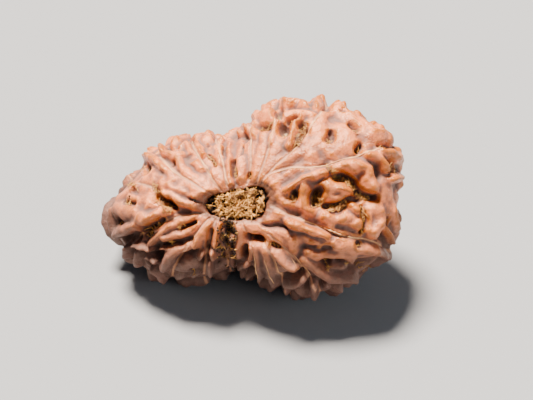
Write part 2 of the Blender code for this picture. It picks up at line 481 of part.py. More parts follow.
def back_features():
    """Folds, pits and seams from the waistline to the blossom end, placed face by face by a rule."""
    draw = np.random.default_rng(BACK_SEED)
    folds, pits, seams = [], [], []
    angles = seam_angles()
    for first, last in zip(angles, angles[1:] + [angles[0] + math.tau]):
        seam_polar = np.linspace(math.radians(86), BACK_TO, 9)
        seam_angle = first + 0.05 * np.sin(5 * seam_polar + 7 * first)
        even = np.ones(9)
        seams.append((SEAM_WIDTH * even, SEAM_DEPTH * even, body_point(seam_angle, seam_polar)))
        polar = BACK_FROM
        while polar < BACK_TO:
            middle = (first + last) / 2
            reach = float(waistline_radius(middle)) * math.sin(polar)
            across = max(1, round(reach * (last - first) / BACK_SPACING))
            for place in range(across):
                share = (place + 0.5 + draw.uniform(-0.18, 0.18)) / across
                centre = first + (last - first) * share
                length = draw.uniform(*BACK_FOLD_LENGTH)
                skew = draw.uniform(-0.8, 0.8)
                bend = draw.uniform(-1, 1) * BACK_FOLD_BEND * BEND_SHAPE
                path_angle = centre + (SPREAD * skew * length + bend) / max(reach, 2.0)
                path_polar = polar + SPREAD * length / 9 + draw.uniform(-0.03, 0.03)
                path = body_point(path_angle, np.clip(path_polar, BACK_FROM - 0.1, BACK_TO))
                even = np.ones(6)
                width = draw.uniform(*BACK_FOLD_WIDTH) * BACK_FOLD_WIDEN * even
                folds.append((width, draw.uniform(*BACK_FOLD_HEIGHT) * even, path))
                if draw.uniform() < BACK_PIT_SHARE:
                    even = np.ones(2)
                    aside = centre + BACK_PIT_ASIDE / max(reach, 2.0)
                    spot = body_point(np.full(2, aside), path_polar[2:4])
                    radius = draw.uniform(*BACK_PIT_RADIUS)
                    pits.append((radius * even, draw.uniform(*BACK_PIT_DEPTH) * even, spot))
            polar += BACK_ROW / BLOSSOM_DEPTH * draw.uniform(0.9, 1.1)
    return folds, pits, seams


def hole_share(points, hole):
    """0 at the middle of a hole and 1 on its rim."""
    u, v = points[:, 0], points[:, 1]
    return np.hypot(u, v) / radius_at(np.arctan2(v, u), hole["rim"])


def smooth_step(low, high, x):
    share = np.clip((x - low) / (high - low), 0, 1)
    return share * share * (3 - 2 * share)


def grid(columns, rows):
    """Angles round the axis and polar angles of a closed grid, poles left out."""
    angle = np.arange(columns) * math.tau / columns
    polar = (np.arange(rows) + 1) * math.pi / (rows + 1)
    return np.meshgrid(angle, polar)


def normals_of(points):
    """Outward unit normals of a grid of shape (rows, columns, 3) that wraps round its columns."""
    around = np.roll(points, -1, 1) - np.roll(points, 1, 1)
    down = np.gradient(points, axis=0)
    normal = np.cross(down, around)
    return normal / np.linalg.norm(normal, axis=2, keepdims=True)


def grid_faces(columns, rows):
    """Quads of a closed grid, with a fan at each pole; the poles are its last two points."""
    stem_pole = columns * rows
    blossom_pole = stem_pole + 1
    faces = []
    for column in range(columns):
        beside = (column + 1) % columns
        faces.append((stem_pole, column, beside))
        for row in range(rows - 1):
            upper, lower = row * columns, (row + 1) * columns
            faces.append((upper + column, lower + column, lower + beside, upper + beside))
        last = (rows - 1) * columns
        faces.append((last + column, blossom_pole, last + beside))
    return faces


def relief(points):
    """Height of the seed's surface over the smooth body, in millimetres."""
    back_folds, back_pits, back_seams = back_features()
    folds = [on_stem(row, FOLD_WIDEN, FOLD_NARROWING) for row in FOLDS] + back_folds
    pits = [on_stem(row, PIT_WIDEN) for row in PITS] + back_pits
    seams = [on_stem((SEAM_WIDTH, SEAM_DEPTH, *seam)) for seam in SEAMS] + back_seams
    bends = [waver(points, WAVER_LENGTH, phase) for phase in WAVER_PHASES]
    bent = points + WAVER * np.stack(bends, 1)
    ground = swelling(bent, [on_stem(row) for row in HOLLOWS], HOLLOW_ROUNDNESS)
    lumps = 1 + LUMPY * waver(points, LUMP_LENGTH, LUMP_PHASE)
    up = swelling(bent, folds, FOLD_ROUNDNESS, ground) * lumps
    down = np.minimum(swelling(bent, pits, PIT_ROUNDNESS), LOWEST_PIT)
    return up - ground - down - swelling(points, seams, SEAM_ROUNDNESS)


def soften(heights, passes):
    """Rounds the grid's folds off a little, so that they keep their form with few triangles."""
    for _ in range(passes):
        across = (np.roll(heights, 1, 1) + 2 * heights + np.roll(heights, -1, 1)) / 4
        padded = np.pad(across, ((1, 1), (0, 0)), mode="edge")
        heights = (padded[:-2] + 2 * padded[1:-1] + padded[2:]) / 4
    return heights


def to_world(points):
    """From the seed's frame in millimetres to the part's frame in metres, as the seed lies."""
    rise, run = math.sin(AXIS_RISE), math.cos(AXIS_RISE)
    u, v, w = points[:, 0], points[:, 1], points[:, 2]
    x = u + CENTRE_SHIFT[0]
    y = v * rise - w * run + CENTRE_SHIFT[1]
    z = v * run + w * rise + REST_HEIGHT
    return np.stack([x, y, z], 1) * MM


def material(name, colour, roughness):
    made = bpy.data.materials.new(name)
    made.use_nodes = True
    shader = made.node_tree.nodes["Principled BSDF"]
    shader.inputs["Base Color"].default_value = (*colour, 1)
    shader.inputs["Roughness"].default_value = roughness
    shader.inputs["Metallic"].default_value = 0
    return made


def add_object(name, points, faces, finish):
    mesh = bpy.data.meshes.new(name)
    mesh.from_pydata(points.tolist(), [], faces)
    mesh.materials.append(finish)
    made = bpy.data.objects.new(name, mesh)
    bpy.context.collection.objects.link(made)
    return made


def make_stone(finish):
    """The stone: the body raised into folds, sunk into pits and seams, and opened at both holes."""
    angle, polar = grid(COLUMNS, ROWS)
    body = body_point(angle, polar)
    normals = normals_of(body).reshape(-1, 3)
    flat = body.reshape(-1, 3)
    height = soften(relief(flat).reshape(ROWS, COLUMNS), SOFTENING).reshape(-1)
    facing = np.sign(np.cos(polar)).reshape(-1)
    sink = np.zeros(len(flat))
    for hole in (STEM_HOLE, BLOSSOM_HOLE):
        share = hole_share(flat, hole)
        near = facing == hole["side"]
        height = np.where(near, height * smooth_step(1.0, 1.35, share), height)
        sink = np.where(near, hole["depth"] * (1 - smooth_step(1 - HOLE_SLOPE, 1.06, share)), sink)
    surface = flat + normals * height[:, None]
    surface[:, 2] -= facing * sink
    poles = body_point(np.zeros(2), np.array([1e-6, math.pi - 1e-6]))
    poles[:, 2] -= np.array([STEM_HOLE["depth"], -BLOSSOM_HOLE["depth"]])
    points = to_world(np.concatenate([surface, poles]))
    stone = add_object("stone", points, grid_faces(COLUMNS, ROWS), finish)
    thin_out(stone, STONE_FACES)
    flatten_below_surface(stone)
    for face in stone.data.polygons:
        face.use_smooth = False
    return stone


def thin_out(obj, faces):
    """Keeps the form with fewer triangles."""
    fewer = obj.modifiers.new("fewer", "DECIMATE")
    fewer.ratio = faces / (len(obj.data.vertices) * 2 - 4)
    fewer.use_collapse_triangulate = True
    evaluated = obj.evaluated_get(bpy.context.evaluated_depsgraph_get())
    thinned = bpy.data.meshes.new_from_object(evaluated)
    obj.modifiers.clear()
    full = obj.data
    obj.data = thinned
    bpy.data.meshes.remove(full)
    thinned.name = obj.name


def flatten_below_surface(obj):
    """Flattens what would sink below the surface that the seed lies on, as worn fold tips are."""
    for vertex in obj.data.vertices:
        vertex.co.z = max(vertex.co.z, 0.0)


def make_fibre(name, hole, finish):
    """The dry fibre that fills a hole: a crumbly pad that stands clear of the hole's wall and floor."""
    side = hole["side"]
    draw = np.random.default_rng(BACK_SEED + side)
    angle = np.arange(FIBRE_COLUMNS) * math.tau / FIBRE_COLUMNS
    shares = np.linspace(1, 0.1, FIBRE_ROWS)
    reach = radius_at(angle, hole["rim"]) * (1 - HOLE_SLOPE) - FIBRE_GAP

    def ring(share, depth, crumb):
        radius = reach * share
        polar = np.arcsin((radius / waistline_radius(angle)) ** (1 / SQUARENESS))
        level = body_point(angle, polar if side > 0 else math.pi - polar)[:, 2]
        level = level - side * (depth + crumb * draw.uniform(-1, 1, FIBRE_COLUMNS))
        return np.stack([radius * np.cos(angle), radius * np.sin(angle), level], 1)

    deep = hole["depth"] - FIBRE_GAP
    rings = [ring(share, FIBRE_SUNK, FIBRE_CRUMB) for share in shares[::-1]]
    rings += [ring(share, deep, 0) for share in (0.94, 0.5)]
    surface = np.concatenate(rings)
    poles = np.array([rings[0].mean(0), rings[-1].mean(0)])
    faces = grid_faces(FIBRE_COLUMNS, len(rings))
    if side < 0:
        faces = [face[::-1] for face in faces]
    return add_object(name, to_world(np.concatenate([surface, poles])), faces, finish)


def main():
    for old in list(bpy.data.objects):
        bpy.data.objects.remove(old)
    stone_finish = material("stone", (0.62, 0.33, 0.24), 0.45)
    fibre_finish = material("fibre", (0.55, 0.34, 0.12), 0.85)
    make_stone(stone_finish)
    make_fibre("stem_fibre", STEM_HOLE, fibre_finish)
    make_fibre("blossom_fibre", BLOSSOM_HOLE, fibre_finish)


main()
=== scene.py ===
# Rudraksha seed: the finish of its stone, the dry fibre in its holes and pits, and its fine seams.
# Places on the seed are in millimetres in the seed's own frame: u runs to the wide end, v across, and
# w along the axis through both holes, out of the stem end.  The seed lies with w tipped up by axisRise.
import math

import bpy
import numpy as np
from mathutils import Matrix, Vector


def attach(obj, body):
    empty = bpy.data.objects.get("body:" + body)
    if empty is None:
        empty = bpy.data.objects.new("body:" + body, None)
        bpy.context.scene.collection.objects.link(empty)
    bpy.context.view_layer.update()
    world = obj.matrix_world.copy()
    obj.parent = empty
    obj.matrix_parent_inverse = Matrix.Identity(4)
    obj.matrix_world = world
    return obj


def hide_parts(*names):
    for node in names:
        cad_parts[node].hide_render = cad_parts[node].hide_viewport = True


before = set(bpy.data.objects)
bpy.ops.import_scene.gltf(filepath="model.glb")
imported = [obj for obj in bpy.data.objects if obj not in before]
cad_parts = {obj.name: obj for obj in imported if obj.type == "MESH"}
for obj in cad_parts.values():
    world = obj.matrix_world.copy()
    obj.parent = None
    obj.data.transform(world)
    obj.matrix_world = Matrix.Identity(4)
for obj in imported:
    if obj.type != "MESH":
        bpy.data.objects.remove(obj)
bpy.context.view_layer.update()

mm = 0.001

# The smooth body under the folds. waistline is its radius round the stem hole, every 15 degrees.
body = {
    "waistline": (
        16.6, 17.3, 16.4, 14.5, 12.4, 9.7, 7.4, 7.1, 8.2, 9.4, 10.8, 11.6,
        13.7, 13.7, 12.7, 11.2, 9.2, 7.6, 6.9, 8.0, 10.4, 13.2, 14.8, 16.5,
    ),
    "stemDepth": 7.4,
    "blossomDepth": 8.8,
    "squareness": 0.92,
    "lean": 0.2,
    "meanRelief": 0.6,
    "dimpleDepth": 0.5,
    "dimpleRadius": 4.2,
    "axisRise": math.radians(40),
    "restHeight": 9.5,
    "centreShift": (-1.27, 0.05),
}

# The two holes: the radius of the rim every 30 degrees, how deep they go, and at which end.
stemHole = {
    "rim": (3.15, 3.15, 1.95, 1.5, 1.6, 2.2, 3.45, 2.6, 1.85, 1.65, 1.85, 2.7),
    "depth": 1.9,
    "side": 1,
}
blossomHole = {
    "rim": (1.7, 1.6, 1.3, 1.15, 1.2, 1.5, 1.8, 1.6, 1.3, 1.2, 1.25, 1.5),
    "depth": 1.5,
    "side": -1,
}
# Walls and edges of both holes. Lengths and phase in millimetres and radians; the rest are shares of the
# rim's radius.
holeEdge = {
    "slope": 0.16,
    "lip": 1.06,
    "rag": 0.05,
    "ragLength": 0.9,
    "ragPhase": 2.7,
    "smoothTo": 1.35,
    "shadeTo": 1.5,
}
nearPole = 1e-6

# Folds of the stem end: half width, height, then (u, v) points; a pair runs from first point to last.
folds = (
    # wide end, upper edge
    ((0.62, 0.5), (1.15, 0.9), (5.35, 11.6), (5.5, 10.9), (6.6, 10.95), (7.7, 10.6)),
    ((0.5, 0.5), (1.0, 0.9), (8.9, 11.2), (8.6, 10.3)),
    (0.42, 0.55, (5.0, 9.7), (6.2, 9.95), (7.4, 9.9), (8.2, 9.6)),
    (0.38, 0.75, (7.2, 9.6), (6.6, 9.1), (6.15, 8.2), (5.9, 7.2), (5.6, 6.3)),
    (0.75, 1.0, (2.4, 9.7), (3.2, 9.75), (3.9, 9.85)),
    (0.35, 0.6, (2.0, 9.4), (1.95, 8.6), (1.9, 7.6)),
    (0.3, 0.5, (4.3, 9.4), (4.25, 8.6), (3.9, 7.6), (3.7, 6.6)),
    (0.34, 0.85, (0.55, 8.7), (0.5, 7.9)),
    (0.36, 0.95, (1.2, 9.3), (1.3, 8.2)),
    ((0.9, 1.2), (0.95, 0.6), (10.9, 10.3), (12.2, 9.4), (13.8, 8.5), (15.0, 7.6)),
    (0.7, 0.95, (14.6, 7.45), (15.7, 7.4), (16.35, 6.95)),
    (1.1, 0.55, (8.6, 8.2), (8.9, 7.0), (8.2, 5.8)),
    (1.1, 0.6, (11.4, 7.6), (11.6, 6.8), (10.6, 5.9)),
    (0.5, 0.5, (10.2, 10.1), (9.5, 9.8), (9.0, 9.2)),
    # wide end, the worm-like folds
    (
        (0.55, 0.8), (0.9, 1.35), (10.6, 3.85), (11.6, 4.1), (12.7, 4.15), (13.6, 3.85), (14.0, 3.1),
        (14.2, 2.3), (14.4, 1.8),
    ),
    (0.72, 0.5, (14.1, 1.6), (14.6, 1.7)),
    (0.5, 0.95, (14.0, 5.2), (14.9, 5.0), (15.5, 4.4), (15.9, 3.9)),
    (0.48, 1.05, (15.3, 5.5), (16.4, 5.4), (17.2, 4.9), (17.6, 3.9), (17.4, 3.0), (16.3, 2.7)),
    (0.6, 0.55, (17.4, 1.5), (17.2, 0.7), (16.8, -0.3)),
    (0.45, 0.9, (16.7, -0.8), (16.9, -2.0), (17.1, -3.3), (16.8, -4.1)),
    (0.3, 0.9, (15.8, -2.5), (16.2, -3.2), (16.6, -4.0)),
    (0.75, 1.05, (14.9, -0.4), (15.2, -1.3), (15.1, -2.3), (14.6, -3.0)),
    (0.35, 0.6, (14.05, -0.7), (14.15, -1.8), (14.1, -2.7)),
    (0.48, 1.0, (12.4, -0.2), (12.7, -0.6)),
    (1.2, 0.6, (10.4, -2.1), (12.6, -2.2)),
    (0.8, 0.6, (6.4, -3.6), (8.2, -3.9), (9.8, -4.2)),
    (0.5, 0.7, (7.6, -5.2), (8.6, -5.5), (9.3, -5.5)),
    (0.6, 0.6, (11.5, -5.4), (12.3, -5.5)),
    (0.7, 0.6, (2.2, -4.9), (3.0, -5.2)),
    (0.6, 0.5, (3.3, -7.0), (4.3, -7.2), (5.2, -7.0)),
    (0.4, 0.9, (3.0, -8.7), (3.3, -9.3)),
    (1.0, 0.55, (15.9, 1.6), (16.4, -0.6)),
    ((0.55, 0.75), (0.85, 0.85), (9.2, -1.4), (10.6, -1.5), (12.0, -1.7), (12.8, -2.1)),
    ((0.8, 0.38), (0.95, 1.1), (9.5, 1.9), (10.8, 1.75), (12.1, 1.4)),
    (0.5, 0.6, (9.7, 0.85), (10.7, 0.8), (11.4, 1.0)),
    ((0.5, 0.75), (1.0, 0.8), (7.2, 2.5), (7.1, 1.3), (7.2, 0.3), (7.6, -0.9)),
    (0.42, 1.1, (5.2, 1.5), (6.1, 2.1), (7.1, 2.6), (8.2, 3.05), (9.4, 3.3)),
    (0.4, 0.5, (5.4, 0.1), (6.2, -0.1), (7.2, -0.5)),
    (0.25, 0.4, (5.3, 3.25), (6.1, 3.7), (7.0, 3.6)),
    (0.9, 0.45, (3.8, 2.2), (4.6, 2.6), (6.0, 3.0), (7.8, 3.5)),
    (1.2, 0.55, (3.9, 1.6), (4.9, 1.0), (5.2, 0.4)),
    # above the stem hole
    (0.5, 0.35, (2.6, 3.0), (3.4, 4.6), (4.2, 6.0), (4.9, 7.2)),
    (0.4, 0.3, (2.0, 2.9), (2.4, 4.6), (2.8, 6.4), (3.0, 7.6)),
    (0.5, 0.4, (3.4, 3.2), (5.0, 4.7), (6.4, 5.4), (8.0, 5.2)),
    (0.3, 0.55, (-0.95, 5.3), (-1.05, 4.3), (-0.95, 3.2), (-0.8, 2.3)),
    (0.4, 0.5, (0.3, 5.0), (0.4, 3.9), (0.3, 2.9)),
    (0.48, 0.85, (-2.0, 7.9), (-2.1, 7.0)),
    (0.35, 0.45, (-1.1, 7.3), (-1.0, 6.3), (-1.1, 5.6)),
    (0.35, 0.45, (-2.2, 6.6), (-2.15, 5.6), (-1.9, 4.6)),
    (0.85, 0.8, (-4.4, 7.4), (-3.5, 7.3)),
    (0.32, 0.6, (-5.0, 7.4), (-4.7, 6.7), (-4.3, 5.9), (-4.0, 5.5)),
    (0.6, 0.4, (-2.5, 3.3), (-1.9, 2.5)),
    (0.35, 0.45, (-5.9, 6.6), (-5.4, 5.9), (-4.8, 4.6), (-4.0, 3.9)),
    # narrow end, upper side
    (0.6, 0.95, (-7.1, 6.7), (-6.15, 7.3)),
    (0.28, 0.5, (-7.0, 5.9), (-6.3, 6.5), (-5.8, 6.8)),
    ((0.34, 0.45), (0.95, 0.6), (-8.75, 6.2), (-8.2, 5.6), (-7.4, 5.3), (-6.5, 5.4)),
    (0.36, 0.6, (-6.8, 4.9), (-6.2, 4.0), (-5.5, 3.2), (-4.6, 2.6)),
    ((0.4, 0.45), (1.1, 0.8), (-11.4, 5.0), (-10.3, 5.15), (-9.3, 4.9), (-8.4, 4.1), (-7.7, 3.4)),
    (1.2, 0.6, (-10.0, 2.6), (-9.4, 2.8), (-8.2, 2.5)),
    (1.1, 0.95, (-7.7, 1.9), (-6.4, 1.6), (-5.0, 1.25), (-3.8, 0.9)),
    (
        (0.5, 0.35), (1.1, 0.75), (-8.0, 0.95), (-7.0, 0.7), (-6.0, 0.2), (-5.0, -0.1), (-4.0, -0.4),
        (-3.5, -0.65),
    ),
    (0.8, 0.6, (-7.4, 2.9), (-5.8, 2.6), (-4.2, 2.1), (-3.2, 1.4)),
    # narrow end, tip and lower side
    (
        (0.36, 0.3), (0.95, 0.45), (-9.7, -4.3), (-9.0, -3.75), (-8.0, -2.95), (-7.0, -2.3),
        (-6.0, -1.8), (-4.6, -1.35),
    ),
    ((0.4, 0.28), (0.85, 0.5), (-8.0, -3.75), (-7.0, -3.45), (-6.0, -3.3), (-5.2, -2.9), (-4.5, -2.3)),
    ((0.7, 0.4), (1.2, 0.9), (-10.6, -1.6), (-9.5, -1.4), (-8.3, -0.9), (-7.4, -0.7)),
    (1.2, 0.55, (-10.6, -0.2), (-9.6, 0.2)),
    (1.1, 0.4, (-8.4, -2.8), (-6.8, -2.6), (-5.0, -2.2)),
    (1.0, 0.3, (-3.8, -3.2), (-2.8, -3.4)),
    (1.4, 0.35, (2.6, -5.8), (4.6, -6.4)),
    (0.3, 0.4, (-9.8, -0.4), (-9.4, -0.4)),
    (0.8, 0.8, (-13.5, -0.6), (-12.4, -0.8), (-11.3, -1.1)),
    (0.5, 1.0, (-13.6, -3.2), (-12.5, -2.85), (-11.3, -2.3)),
    (0.42, 0.8, (-14.1, -0.8), (-14.2, -2.0), (-13.9, -3.2)),
    (0.35, 0.5, (-12.1, 0.6), (-11.3, 0.4)),
    (0.6, 0.5, (-13.4, 0.5), (-12.2, 1.3), (-11.5, 1.9)),
    (
        (0.52, 0.55), (1.15, 0.7), (-8.25, -6.85), (-7.8, -6.1), (-7.3, -5.45), (-6.6, -5.0),
        (-5.8, -4.7), (-5.2, -4.5),
    ),
    (0.16, 0.6, (-8.6, -4.95), (-7.4, -4.9)),
    ((0.5, 0.3), (1.15, 0.5), (-4.7, -4.45), (-4.1, -3.5), (-3.5, -2.7), (-3.0, -2.1)),
    ((0.22, 0.2), (0.95, 0.5), (-2.6, -4.5), (-2.4, -3.8), (-2.3, -3.1), (-2.0, -2.3)),
    (0.34, 1.0, (-2.9, -5.4), (-2.85, -5.9)),
    (0.2, 0.55, (-1.7, -3.0), (-1.5, -3.6)),
    (0.18, 0.6, (-0.7, -3.7), (-0.9, -4.3)),
    (0.2, 0.6, (-1.8, -4.6), (-1.5, -5.2)),
    (0.18, 0.5, (-0.7, -5.4), (-1.1, -5.8)),
    (0.32, 0.95, (-4.35, -5.75), (-4.0, -5.3)),
    (0.34, 1.15, (-3.25, -6.4), (-3.4, -7.5)),
    (0.7, 0.5, (-6.3, -7.0), (-5.5, -6.6)),
    (0.26, 0.7, (-5.2, -7.9), (-4.5, -7.5)),
    (0.3, 0.6, (-6.9, -8.1), (-6.4, -7.8)),
    (0.42, 1.1, (-12.35, -4.7), (-12.3, -5.6)),
    (0.36, 1.0, (-11.0, -5.3), (-11.2, -6.5)),
    (0.3, 1.05, (-11.4, -4.4), (-10.5, -4.6), (-9.6, -5.0)),
    (0.34, 0.95, (-9.9, -5.8), (-9.0, -6.2)),
    (0.4, 1.0, (-9.6, -7.0), (-8.9, -7.6), (-8.45, -8.3)),
    # below the stem hole
    (0.45, 0.5, (0.1, -2.3), (0.35, -3.4), (0.3, -4.6), (0.1, -5.8)),
    (0.7, 0.4, (0.6, -2.4), (1.6, -2.5)),
    (0.36, 1.0, (0.3, -6.8), (1.3, -6.4)),
    (0.26, 0.9, (-0.85, -6.2), (-0.6, -6.8)),
    (0.3, 0.7, (-1.1, -7.6), (-0.5, -7.7)),
    (0.22, 0.6, (1.55, -5.0), (1.5, -6.0)),
    (0.36, 1.1, (1.45, -7.6), (2.2, -8.7)),
    ((0.3, 0.4), (0.6, 1.1), (2.0, -4.6), (2.3, -5.8), (2.6, -7.1), (2.8, -7.9)),
    ((0.42, 0.5), (0.6, 0.95), (3.1, -4.7), (3.35, -6.0), (3.75, -7.3), (4.2, -8.7)),
    ((0.36, 0.46), (0.7, 1.3), (4.2, -5.2), (4.9, -6.0), (5.7, -6.6), (6.3, -6.9)),
    (0.55, 1.2, (5.5, -8.35), (6.3, -8.35), (7.1, -7.95)),
    (0.26, 0.9, (5.5, -8.2), (5.6, -9.2), (5.9, -10.2)),
    (0.7, 0.4, (3.0, -1.3), (4.0, -1.4), (4.8, -1.1)),
    (0.5, 0.5, (5.2, -3.3), (5.8, -4.0), (6.3, -4.8)),
    (0.7, 0.45, (2.9, -2.8), (4.0, -3.2), (4.8, -3.8)),
    # wide end, lower side
    (0.4, 1.1, (8.3, -8.5), (8.5, -9.8)),
    (
        (0.45, 0.55), (0.7, 1.25), (7.3, -6.1), (8.2, -6.8), (9.2, -7.5), (10.2, -7.9), (11.4, -7.9),
        (12.6, -7.8),
    ),
    (0.5, 0.5, (9.9, -5.5), (11.0, -5.4)),
    ((0.5, 0.3), (1.1, 0.9), (11.0, -8.9), (10.9, -9.9)),
    (0.3, 0.8, (9.6, -8.7), (10.8, -9.5)),
    ((0.62, 0.42), (1.4, 1.2), (5.75, -1.95), (6.6, -2.3), (7.8, -2.7), (8.9, -3.1), (9.7, -3.45)),
    ((0.9, 0.55), (0.85, 1.0), (10.6, -4.2), (12.2, -4.6), (13.6, -4.8), (14.8, -4.9)),
    (0.4, 1.2, (14.8, -4.9), (15.8, -5.3), (16.0, -6.1), (15.3, -7.1), (14.2, -7.8), (12.9, -8.2)),
    (0.28, 0.6, (12.4, -5.9), (12.2, -7.0)),
    (0.45, 0.6, (7.0, -9.7), (8.2, -10.1), (9.4, -10.2)),
)

# Pits of the stem end: radius, depth, then (u, v) points.
pits = (
    # wide end, upper part
    (0.4, 0.8, (10.15, 7.6), (9.95, 6.8)),
    (0.36, 0.8, (12.4, 8.5), (12.75, 8.1)),
    (0.28, 0.65, (13.4, 6.3), (12.95, 5.85)),
    (0.3, 0.8, (15.4, 6.2), (16.4, 6.3)),
    (0.5, 1.3, (4.9, 8.6), (5.2, 7.9)),
    (0.38, 0.9, (5.8, 9.15), (6.2, 9.3)),
    (0.35, 0.6, (6.0, 10.6), (6.6, 10.8)),
    (0.4, 1.0, (7.0, 8.6), (7.4, 8.0)),
    (0.4, 1.3, (2.3, 8.7), (3.3, 8.75)),
    (0.16, 0.4, (11.2, 9.8), (11.6, 9.7)),
    # wide end, among the worm-like folds
    (0.3, 0.9, (6.15, 1.2), (6.05, 0.8)),
    (0.34, 0.8, (16.4, 4.5), (17.0, 3.9)),
    (0.42, 1.1, (8.9, 1.5), (8.4, 0.9), (8.25, 0.0)),
    (0.34, 1.2, (10.6, 3.0), (11.8, 2.75), (12.5, 2.3), (12.9, 1.6), (13.6, 0.95), (14.8, 0.75)),
    (0.26, 1.0, (9.4, -0.3), (10.4, -0.1), (11.2, 0.15), (12.2, 0.5), (13.2, 0.4)),
    (0.22, 0.9, (13.3, -0.4), (13.5, -1.2), (13.7, -1.9), (13.6, -2.5), (13.2, -2.9)),
    (0.22, 0.6, (10.2, -0.9), (11.0, -0.8), (11.6, -0.4)),
    (0.32, 0.8, (16.1, -1.7), (16.1, -2.1)),
    (0.4, 0.45, (14.9, 4.0), (15.1, 3.0)),
    (0.28, 0.3, (10.7, -2.3), (11.5, -2.6), (12.8, -2.9)),
    (0.4, 0.25, (3.4, 0.1), (4.6, -0.35), (6.2, -0.9), (7.8, -1.4)),
    (0.12, 0.4, (7.4, -2.0), (9.0, -2.55), (10.4, -3.15), (11.7, -3.6)),
    # wide end, lower side
    (0.55, 1.3, (12.4, -6.8), (13.4, -6.7), (14.5, -6.4)),
    (0.36, 0.8, (11.4, -6.3), (11.8, -6.6)),
    (0.36, 1.4, (9.6, -6.3), (9.9, -6.5)),
    (0.3, 0.35, (7.4, -4.6), (8.3, -4.4)),
    (0.25, 0.5, (9.4, -4.7), (9.9, -4.6)),
    (0.28, 1.0, (5.3, -7.5), (6.6, -7.45)),
    (0.3, 0.8, (12.9, -4.2), (12.95, -4.35)),
    # above the stem hole
    (0.34, 0.9, (-0.5, 4.7), (-0.3, 3.3)),
    (0.2, 0.6, (1.35, 3.3), (1.25, 2.9)),
    (0.4, 0.5, (0.7, 7.7), (0.9, 7.3)),
    (0.22, 0.4, (0.45, 6.4), (0.4, 5.5)),
    (0.24, 0.6, (-1.95, 7.25), (-1.95, 7.1)),
    (0.26, 0.55, (-1.6, 6.2), (-1.6, 5.6)),
    (0.18, 0.5, (-3.4, 5.6), (-2.9, 5.0), (-2.6, 4.3)),
    (0.16, 0.5, (-3.5, 6.7), (-3.5, 6.6)),
    (0.38, 0.45, (-5.4, 5.3), (-5.1, 5.0)),
    (0.2, 0.45, (-7.0, 6.1), (-6.8, 6.1)),
    (0.2, 0.7, (-7.2, 4.7), (-7.3, 4.3)),
    (0.34, 0.25, (-8.4, 3.4), (-7.8, 3.1)),
    (0.4, 0.8, (-10.5, 4.2), (-10.1, 3.5)),
    # narrow end
    (0.36, 1.5, (-8.6, 0.7), (-7.9, 0.2), (-7.2, -0.3)),
    (0.4, 1.0, (-13.5, -1.8), (-13.2, -2.0)),
    (0.26, 1.0, (-9.8, -2.5), (-8.9, -2.2), (-8.2, -1.7)),
    (0.3, 0.8, (-10.4, -3.3), (-9.9, -3.1)),
    (0.2, 1.0, (-6.0, -2.5), (-4.6, -2.0)),
    (0.2, 0.35, (-5.1, 0.45), (-4.2, 0.2), (-3.4, 0.0)),
    (0.32, 0.25, (-6.4, -0.95), (-5.4, -1.0)),
    (0.2, 0.7, (-2.9, -2.8), (-3.2, -3.8), (-3.4, -4.8)),
    (0.26, 0.4, (-12.5, 0.0), (-11.3, -0.05)),
    (0.26, 0.8, (-5.3, -7.25), (-5.25, -7.4)),
    # below the stem hole
    (0.2, 0.7, (-0.95, -1.9), (-1.0, -3.0)),
    (0.65, 0.9, (-1.1, -2.6), (-1.3, -4.2), (-1.2, -6.2)),
    (0.3, 1.2, (0.9, -4.9), (0.95, -5.6)),
    (0.26, 0.9, (1.4, -3.6), (2.6, -3.9)),
    (0.2, 0.8, (3.8, -4.3), (4.5, -4.7)),
    (0.3, 0.4, (2.8, -2.3), (4.0, -2.3), (5.2, -2.6)),
    # notches in the outline
    (0.3, 0.9, (-9.1, 5.3), (-9.3, 6.0)),
    (0.22, 0.6, (-7.8, 5.8), (-8.1, 6.5)),
    (0.3, 0.8, (-5.3, 6.9), (-5.6, 7.8)),
    (0.26, 0.7, (-2.7, 7.1), (-2.8, 7.9)),
    (0.5, 0.5, (-1.0, 7.6), (-0.7, 8.1)),
    (0.3, 0.7, (1.75, 9.0), (1.85, 9.9)),
    (0.36, 1.3, (4.6, 9.5), (4.7, 10.6)),
    (0.3, 0.7, (8.0, 10.6), (8.2, 11.5)),
    (0.3, 0.8, (9.7, 10.1), (10.0, 10.9)),
    (0.34, 0.6, (14.9, 8.1), (15.5, 8.5)),
)

